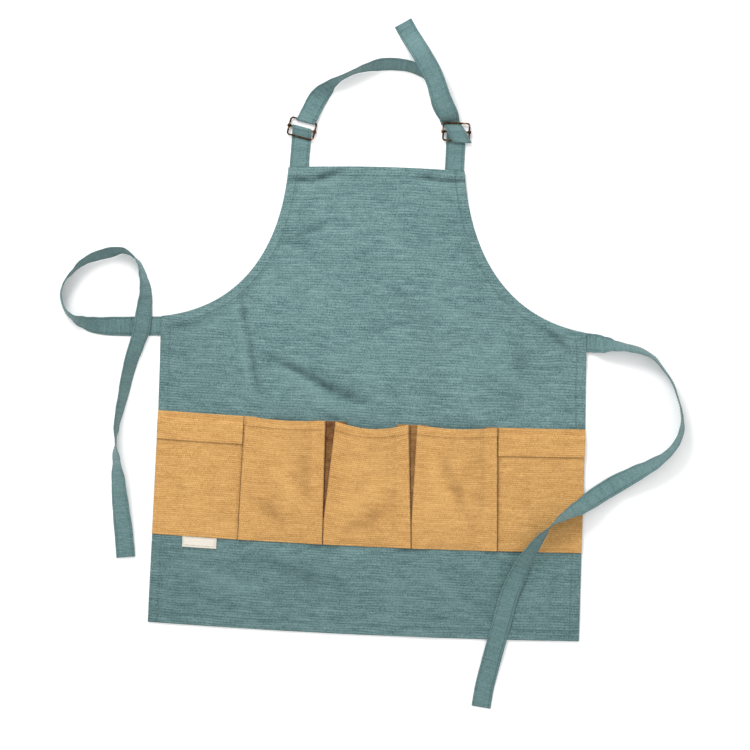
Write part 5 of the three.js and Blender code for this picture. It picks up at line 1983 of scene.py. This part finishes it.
@dataclass
class Slider:
    """A wire slider: a round-cornered frame with a bar that slides on two collars."""

    side: Side
    turn: float
    lean: float
    threaded: bool
    panel: Panel
    wire: float = 0.95
    width: float = 27.5
    length: float = 18.4
    corner: float = 2.5
    collar_wall: float = 0.7
    collar_length: float = 3.0
    strap_wall: float = 1.0
    tab_length: float = 40.5
    tab_leaf: float = 0.8

    def __post_init__(self) -> None:
        """Works out where the slider lies and how high its bars are."""
        self.tab_x = self.panel.tab_middle(self.side)
        top = self.panel.lay(np.array(self.tab_x), np.array(self.panel.bib), np.array(0.0))[1]
        self.x = self.tab_x + self.lean
        self.y = float(top) + self.tab_length
        passing = self.strap_wall + GAP if self.threaded else 0.0
        self.top_bar = passing + self.strap_wall + GAP + self.wire
        self.low_bar = passing + self.panel.tab_wall + GAP + self.wire
        self.middle_bar = (self.top_bar + self.low_bar) / 2

    def place(self, points: Array) -> Array:
        """Points of the slider, tilted to its bars' heights, turned and put in place.

        Args:
            points: in the slider's own frame, in millimetres.
        """
        tilt = np.arcsin((self.top_bar - self.low_bar) / self.length)
        turn = np.radians(self.turn)
        x, y, z = points[..., 0], points[..., 1], points[..., 2]
        y, z = y * np.cos(tilt) - z * np.sin(tilt), y * np.sin(tilt) + z * np.cos(tilt)
        x, y = x * np.cos(turn) - y * np.sin(turn), x * np.sin(turn) + y * np.cos(turn)
        return np.stack([x + self.x, y + self.y, z + self.middle_bar], -1)

    def frame_surface(self) -> Surface:
        """The frame: a circle carried round a rectangle whose corners are quarter circles."""
        reach = np.array([self.width, self.length]) / 2 - self.corner
        angle = np.concatenate([np.linspace(k, k + 1, 13) * np.pi / 2 for k in range(4)])
        corner = np.repeat([[1, 1], [-1, 1], [-1, -1], [1, -1]], 13, axis=0) * reach
        outward = np.stack([np.cos(angle), np.sin(angle), 0 * angle], -1)
        path = np.column_stack([corner, 0 * angle]) + self.corner * outward
        steps = 9
        ahead = np.roll(path, -1, 0)
        ahead_out = np.roll(outward, -1, 0)
        share = np.linspace(0, 1, steps, endpoint=False)[None, :, None]
        long = np.linalg.norm(ahead - path, axis=1) > 2 * self.corner
        path = lerp(path[:, None], ahead[:, None], share)
        outward = lerp(outward[:, None], ahead_out[:, None], share)
        keep = long[:, None] | (np.arange(steps) == 0)[None]
        ring = tube(path[keep], self.wire, unit(outward[keep]), 16, True)
        ring.points = self.place(ring.points)
        return ring

    def bar_surface(self) -> Surface:
        """The sliding bar: a round rod that ends in collars round the frame's rails."""
        rail = self.width / 2
        inner = rail - self.wire - GAP - self.collar_wall / 2
        x = np.linspace(-inner, inner, 25)
        path = np.stack([x, 0 * x, 0 * x], -1)
        made = tube(path, self.wire, np.tile(UP, (len(x), 1)), 16, False)
        bore = self.wire + GAP
        ring = bore + self.collar_wall / 2
        angle = np.linspace(0, 2 * np.pi, 24, endpoint=False)
        around = np.linspace(0, 2 * np.pi, 12, endpoint=False)
        swell = np.abs(np.cos(around)) ** 0.5 * np.sign(np.cos(around)) * self.collar_wall / 2
        rise = np.abs(np.sin(around)) ** 0.5 * np.sign(np.sin(around)) * self.collar_length / 2
        for sign in (-1, 1):
            radius = np.tile(ring + swell, (len(angle), 1))
            points = np.stack(
                [
                    sign * rail + radius * np.cos(angle)[:, None],
                    rise[None] + 0 * radius,
                    radius * np.sin(angle)[:, None],
                ],
                -1,
            )
            faces = ring_faces(len(angle), len(around), True)
            made = made.joined(Surface(points.reshape(-1, 3), faces).outward())
        made.points = self.place(made.points)
        return made

    def tab_stations(self) -> Stations:
        """The tab: out along the floor, round the sliding bar and back over itself."""
        half = self.panel.tab_wall / 4
        radius = self.wire + GAP + self.strap_wall / 2
        start = -(self.tab_length + self.panel.hem_width - 1)
        angle = np.radians(np.linspace(250, 515, 44))
        loop = np.stack([radius * np.cos(angle), self.middle_bar + radius * np.sin(angle)], -1)
        out = np.stack([np.linspace(start, -7, 44), np.full(44, half)], -1)
        back = np.stack([np.linspace(-7.8, start, 44), np.full(44, 3 * half)], -1)
        path = np.vstack([out, loop, back])
        run = run_length(path)
        even = np.arange(0, run[-1], 0.45)
        line = evened(sampled(path, run, even), bell_weights(5, 2.2))
        slope = np.tan(np.radians(self.turn)) * smoothstep(line[:, 0], start / 2, -self.length / 2)
        leaned = self.lean * smoothstep(line[:, 0], start, 0)
        middle = np.stack([self.tab_x + leaned, self.y + line[:, 0], line[:, 1]], -1)
        across = np.stack([np.ones(len(line)), slope, 0 * slope], -1)
        return Stations(middle, across)

    def build(self) -> None:
        """Makes the frame, the bar and the tab."""
        name = self.side.name.lower()
        for part, node, surface in (
            ("wire", "frame", self.frame_surface()),
            ("rod", "bar", self.bar_surface()),
        ):
            nodes = [f"slider_{name}_{node}"]
            make_piece(f"slider_{name}_{part}", surface, BRASS, nodes)
        stations = self.tab_stations()
        skewed = np.ones(len(stations.middle), bool)
        ribbon = Ribbon(stations, STRAP_WIDTH, self.tab_leaf, skewed, crumple=0.0, cup=0.0)
        total = ribbon.length()
        nodes = [f"neck_tab_{name}"]
        piece = make_piece(f"tab_{name}_cloth", ribbon.surface(), STRAP, nodes)
        seam = ribbon.line(total - 38, total - 12)
        make_piece(f"tab_{name}_stitching", seam, BODY_THREAD)


@dataclass(frozen=True)
class Stop:
    """A bar that a strap goes round, seen from its end, or a plain end of the strap.

    turn is 1 where the strap goes round against the clock, -1 with it and 0 at a plain end.
    """

    v: float
    z: float
    radius: float = 0.0
    turn: int = 0


def path_round(stops: Sequence[Stop]) -> Array:
    """The line of a strap round bars.

    Straight runs touch each bar's circle, and arcs lie between them.

    Args:
        stops: the bars and ends in their order.
    """
    runs = []
    for here, there in zip(stops[:-1], stops[1:]):
        apart = np.array([there.v - here.v, there.z - here.z])
        wider = there.turn * there.radius - here.turn * here.radius
        lean = np.arcsin(wider / np.linalg.norm(apart))
        angle = np.arctan2(apart[1], apart[0]) - lean
        normal = np.array([-np.sin(angle), np.cos(angle)])
        touch = [np.array([s.v, s.z]) - s.turn * s.radius * normal for s in (here, there)]
        runs.append((angle, *touch))
    points = []
    for k, (angle, start, end) in enumerate(runs):
        count = max(3, int(np.linalg.norm(end - start) / 0.7))
        points.append(np.linspace(start, end, count + 1))
        if k + 1 == len(runs):
            break
        stop = stops[k + 1]
        sweep = ((runs[k + 1][0] - angle) * stop.turn) % (2 * np.pi)
        count = max(2, int(sweep / 0.16))
        turned = angle + stop.turn * sweep * np.arange(1, count)[:, None] / count
        ring = stop.turn * stop.radius * np.hstack([np.sin(turned), -np.cos(turned)])
        points.append(np.array([stop.v, stop.z]) + ring)
    return np.vstack(points)


NECK_ROUTE = (
    (0.058, 0.280, 0), (0.086, 0.423, 6), (0.124, 0.545, 32), (0.180, 0.675, 66),
    (0.242, 0.770, 82), (0.316, 0.860, 84), (0.403, 0.938, 72), (0.489, 0.987, 57),
    (0.584, 1.000, 57), (0.667, 0.980, 60), (0.732, 0.935, 60), (0.796, 0.850, 66),
    (0.833, 0.700, 60), (0.865, 0.540, 46), (0.902, 0.380, 22), (0.945, 0.255, 0),
)

TAIL_ROUTE = (
    (-0.034, 0.040, 0), (-0.075, 0.120, 0), (-0.115, 0.200, 0), (-0.150, 0.290, -2),
    (-0.185, 0.375, -4), (-0.222, 0.450, -4), (-0.278, 0.540, 0), (-0.328, 0.620, 0),
    (-0.388, 0.722, 0), (-0.448, 0.822, 0), (-0.500, 0.908, 0),
)


@dataclass
class NeckStrap:
    """The neck strap: from a lap round the left slider to the right one and its free tail."""

    left: Slider
    right: Slider
    width: float = STRAP_WIDTH
    wall: float = 1.0
    rise: float = 69.0
    tail_length: float = 111.0
    tail_drift: float = 0.6
    lap_length: float = 7.0
    lap_skew: float = -0.25
    lap_sink: float = 0.3
    skew: float = 0.6
    slope: float = 0.32
    loop_steps: int = 230
    loop_settle: int = 10
    loop_crossed: int = 120
    tail_steps: int = 110
    tail_settle: int = 11

    def bar_stations(self, slider: Slider, path: Array, skew: float) -> Stations:
        """A path round bars, put at its slider and drawn sideways by the skew.

        Args:
            slider: the slider.
            path: the line round its bars, seen from their ends.
            skew: the shift sideways for each millimetre along.
        """
        turn = np.radians(slider.turn)
        across = np.array([np.cos(turn), np.sin(turn), 0.0])
        along = np.array([-np.sin(turn), np.cos(turn), 0.0])
        v, z = path[:, :1], path[:, 1]
        middle = np.array([slider.x, slider.y, 0.0]) + along * v - across * v * skew
        middle[:, 2] = z
        return Stations(middle, np.tile(across, (len(path), 1)))

    def stations(self) -> tuple[Stations, Array]:
        """The whole strap, and which of its stations pass round the bars."""
        half = self.left.length / 2
        leave = half + 3
        wire = self.left.wire
        reach = wire + GAP + self.wall / 2
        ring = wire + 2 * GAP + 1.5 * self.wall
        layer = self.wall + GAP
        right = self.right
        lap = path_round(
            [
                Stop(half + self.lap_length, self.wall / 2),
                Stop(half, self.left.top_bar, reach, -1),
                Stop(leave, self.left.top_bar + reach - self.lap_sink),
            ]
        )
        threading = path_round(
            [
                Stop(leave, self.wall / 2),
                Stop(half, right.top_bar, reach + layer, -1),
                Stop(0, right.middle_bar, ring, 1),
                Stop(-half, right.low_bar, reach, -1),
                Stop(0, right.middle_bar, ring + layer, -1),
                Stop(half, right.top_bar, reach, 1),
                Stop(leave, self.wall / 2 + layer),
            ]
        )
        table = np.array(NECK_ROUTE, float)
        share = table[:, 0].copy()
        table[:, 0] = self.left.x + share * (right.x - self.left.x)
        table[:, 1] = lerp(self.left.y, right.y, share) + table[:, 1] * self.rise
        lapped = self.bar_stations(self.left, lap, self.lap_skew)
        end = lapped.middle[-1]

        def rest(x: Array, y: Array, _share: Array) -> Array:
            """What holds the strap up beside the left slider: its own lap, then its stiffness."""
            gone = np.hypot(x - end[0], y - end[1]) - self.width / 2
            falling = end[2] - self.wall / 2 - self.slope * (gone + self.width / 2)
            return np.maximum(np.where(gone < self.lap_length, layer, 0.0), falling)

        size = (self.width, self.wall)
        loop = laid_stations(table, self.loop_steps, *size, rest, self.loop_settle)
        threaded = self.bar_stations(right, threading, self.skew)
        tail_table = np.array(TAIL_ROUTE, float)
        scale = self.tail_length / route_length(tail_table)
        start = threaded.middle[-1]
        gone = (tail_table[:, 1] - TAIL_ROUTE[0][1]) * scale
        drift = 0.8 + self.tail_drift * smoothstep(gone, -10, 16)
        tail_table[:, 0] = start[0] + (tail_table[:, 0] - TAIL_ROUTE[0][0]) * scale - drift
        tail_table[:, 1] = start[1] + gone + 4
        loop_top = loop.part(slice(self.loop_crossed, None)).top_of(*size, 5)
        tail = laid_stations(tail_table, self.tail_steps, *size, loop_top, self.tail_settle)
        parts = (lapped, loop, threaded, tail)
        bars = np.repeat([True, False, True, False], [len(part.middle) for part in parts])
        return self.eased(reduce(Stations.joined, parts).oriented(), bars)

    def eased(self, whole: Stations, bars: Array) -> tuple[Stations, Array]:
        """Evens out the joins between the parts, and leaves what passes round the bars as it is.

        Args:
            whole: the whole strap.
            bars: which of its stations pass round the bars.

        Returns:
            The evened strap, and which of its stations pass round the bars.
        """
        run = run_length(whole.middle)
        even = np.arange(0, run[-1], 0.8)
        middle, across = (sampled(values, run, even) for values in (whole.middle, whole.across))
        free = 1 - np.interp(even, run, bars.astype(float))
        free = evened(free[:, None], np.ones(9) / 9) ** 2
        bell = bell_weights(9, 5.0)
        middle = lerp(middle, evened(middle, bell), free)
        across = lerp(across, evened(across, bell), free)
        loose = free[:, 0] > 0.02
        places = np.concatenate([even[loose], run[bars]])
        order = np.argsort(places)
        places = places[order]
        spots = np.vstack([middle[loose], whole.middle[bars]])[order]
        ways = np.vstack([across[loose], whole.across[bars]])[order]
        flags = np.concatenate([np.zeros(loose.sum(), bool), np.ones(bars.sum(), bool)])[order]
        keep = np.concatenate([[True], np.diff(places) > 0.12])
        return Stations(spots[keep], ways[keep]), flags[keep]

    def build(self) -> None:
        """Makes the strap and its stitches."""
        stations, bars = self.stations()
        ribbon = Ribbon(stations, self.width, self.wall, bars, seed=91, crumple=0.25)
        piece = make_piece("neck_strap_cloth", ribbon.surface(), STRAP, ["neck_strap"])
        total = ribbon.length()
        LOG.info("neck strap: %.0f mm long", total)
        bars = [22.0, 27.0] + [total - from_tip for from_tip in TIP_BARS]
        seams = [ribbon.line(26, total - 175), ribbon.line(total - 118, total - 3)]
        seams += map(ribbon.bar, bars)
        make_piece("neck_strap_stitching", joined_all(seams), BODY_THREAD)


# The studio


@dataclass
class Studio:
    """A pale floor, soft light from the upper left and a camera that looks straight down."""

    millimetres_per_pixel: float = 1.05
    picture: int = 750
    turn: float = 2.3
    centre_x: float = 3.3
    centre_y: float = -43.5
    distance: float = 2.4
    sensor: float = 36.0
    floor_depth: float = 0.4
    floor_half: float = 4000.0
    world_strength: float = 1.05
    key_watts: float = 17.5

    def add_camera(self) -> None:
        """Sets the camera so that one pixel of the picture covers its size on the floor."""
        data = bpy.data.cameras.new("camera")
        width = self.millimetres_per_pixel * self.picture * MM
        data.sensor_width = self.sensor
        data.lens = self.sensor * self.distance / width
        camera = bpy.data.objects.new("camera", data)
        camera.location = (self.centre_x * MM, self.centre_y * MM, self.distance)
        camera.rotation_euler = (0.0, 0.0, np.radians(self.turn))
        bpy.context.scene.collection.objects.link(camera)
        bpy.context.scene.camera = camera

    def add_light(self, name: str, place: tuple, size: float, watts: float) -> None:
        """A square soft light that faces the middle of the apron.

        Args:
            name: what it is called.
            place: where it stands, in metres.
            size: the length of its sides.
            watts: its power.
        """
        data = bpy.data.lights.new(name, "AREA")
        data.size = size
        data.energy = watts
        light = bpy.data.objects.new(name, data)
        light.location = place
        back = np.array(place) - np.array([0.0, -0.05, 0.0])
        pitch = np.arctan2(np.hypot(back[0], back[1]), back[2])
        yaw = np.arctan2(back[0], -back[1])
        light.rotation_euler = (pitch, 0.0, yaw)
        bpy.context.scene.collection.objects.link(light)

    def add_floor(self) -> None:
        """The floor, just under the apron."""
        half = self.floor_half
        corners = np.array([[-half, -half, 0], [half, -half, 0], [half, half, 0], [-half, half, 0]])
        corners[:, 2] = -self.floor_depth
        mesh = bpy.data.meshes.new("floor")
        mesh.from_pydata((corners * MM).tolist(), [], [[0, 1, 2, 3]])
        mesh.materials.append(FloorFinish().material())
        floor = bpy.data.objects.new("floor", mesh)
        bpy.context.scene.collection.objects.link(floor)

    def build(self) -> None:
        """Sets up floor, light and camera."""
        scene = bpy.context.scene
        scene.view_settings.view_transform = "Standard"
        world = bpy.data.worlds.new("studio")
        world.use_nodes = True
        background = world.node_tree.nodes["Background"]
        background.inputs["Color"].default_value = (1.0, 1.0, 1.0, 1.0)
        background.inputs["Strength"].default_value = self.world_strength
        scene.world = world
        self.add_floor()
        self.add_light("key", (-0.55, 1.05, 1.1), 0.6, self.key_watts)
        self.add_camera()


def main() -> None:
    """Builds the apron from its panel outwards, then the studio."""
    logging.basicConfig(level=logging.INFO, format="%(message)s")
    Studio().build()
    panel = Panel()
    panel.build()
    band = PocketBand(panel)
    band.build()
    SideLabel(panel).build()
    left = Slider(Side.LEFT, -12.5, 1.6, False, panel)
    right = Slider(Side.RIGHT, 0.0, 0.3, True, panel)
    for slider in (left, right):
        slider.build()
    NeckStrap(left, right).build()
    WaistTie(Side.LEFT, 543.0, panel, band, LEFT_TIE_ROUTE).build()
    WaistTie(Side.RIGHT, 537.0, panel, band, RIGHT_TIE_ROUTE).build()


if __name__ == "__main__":
    main()
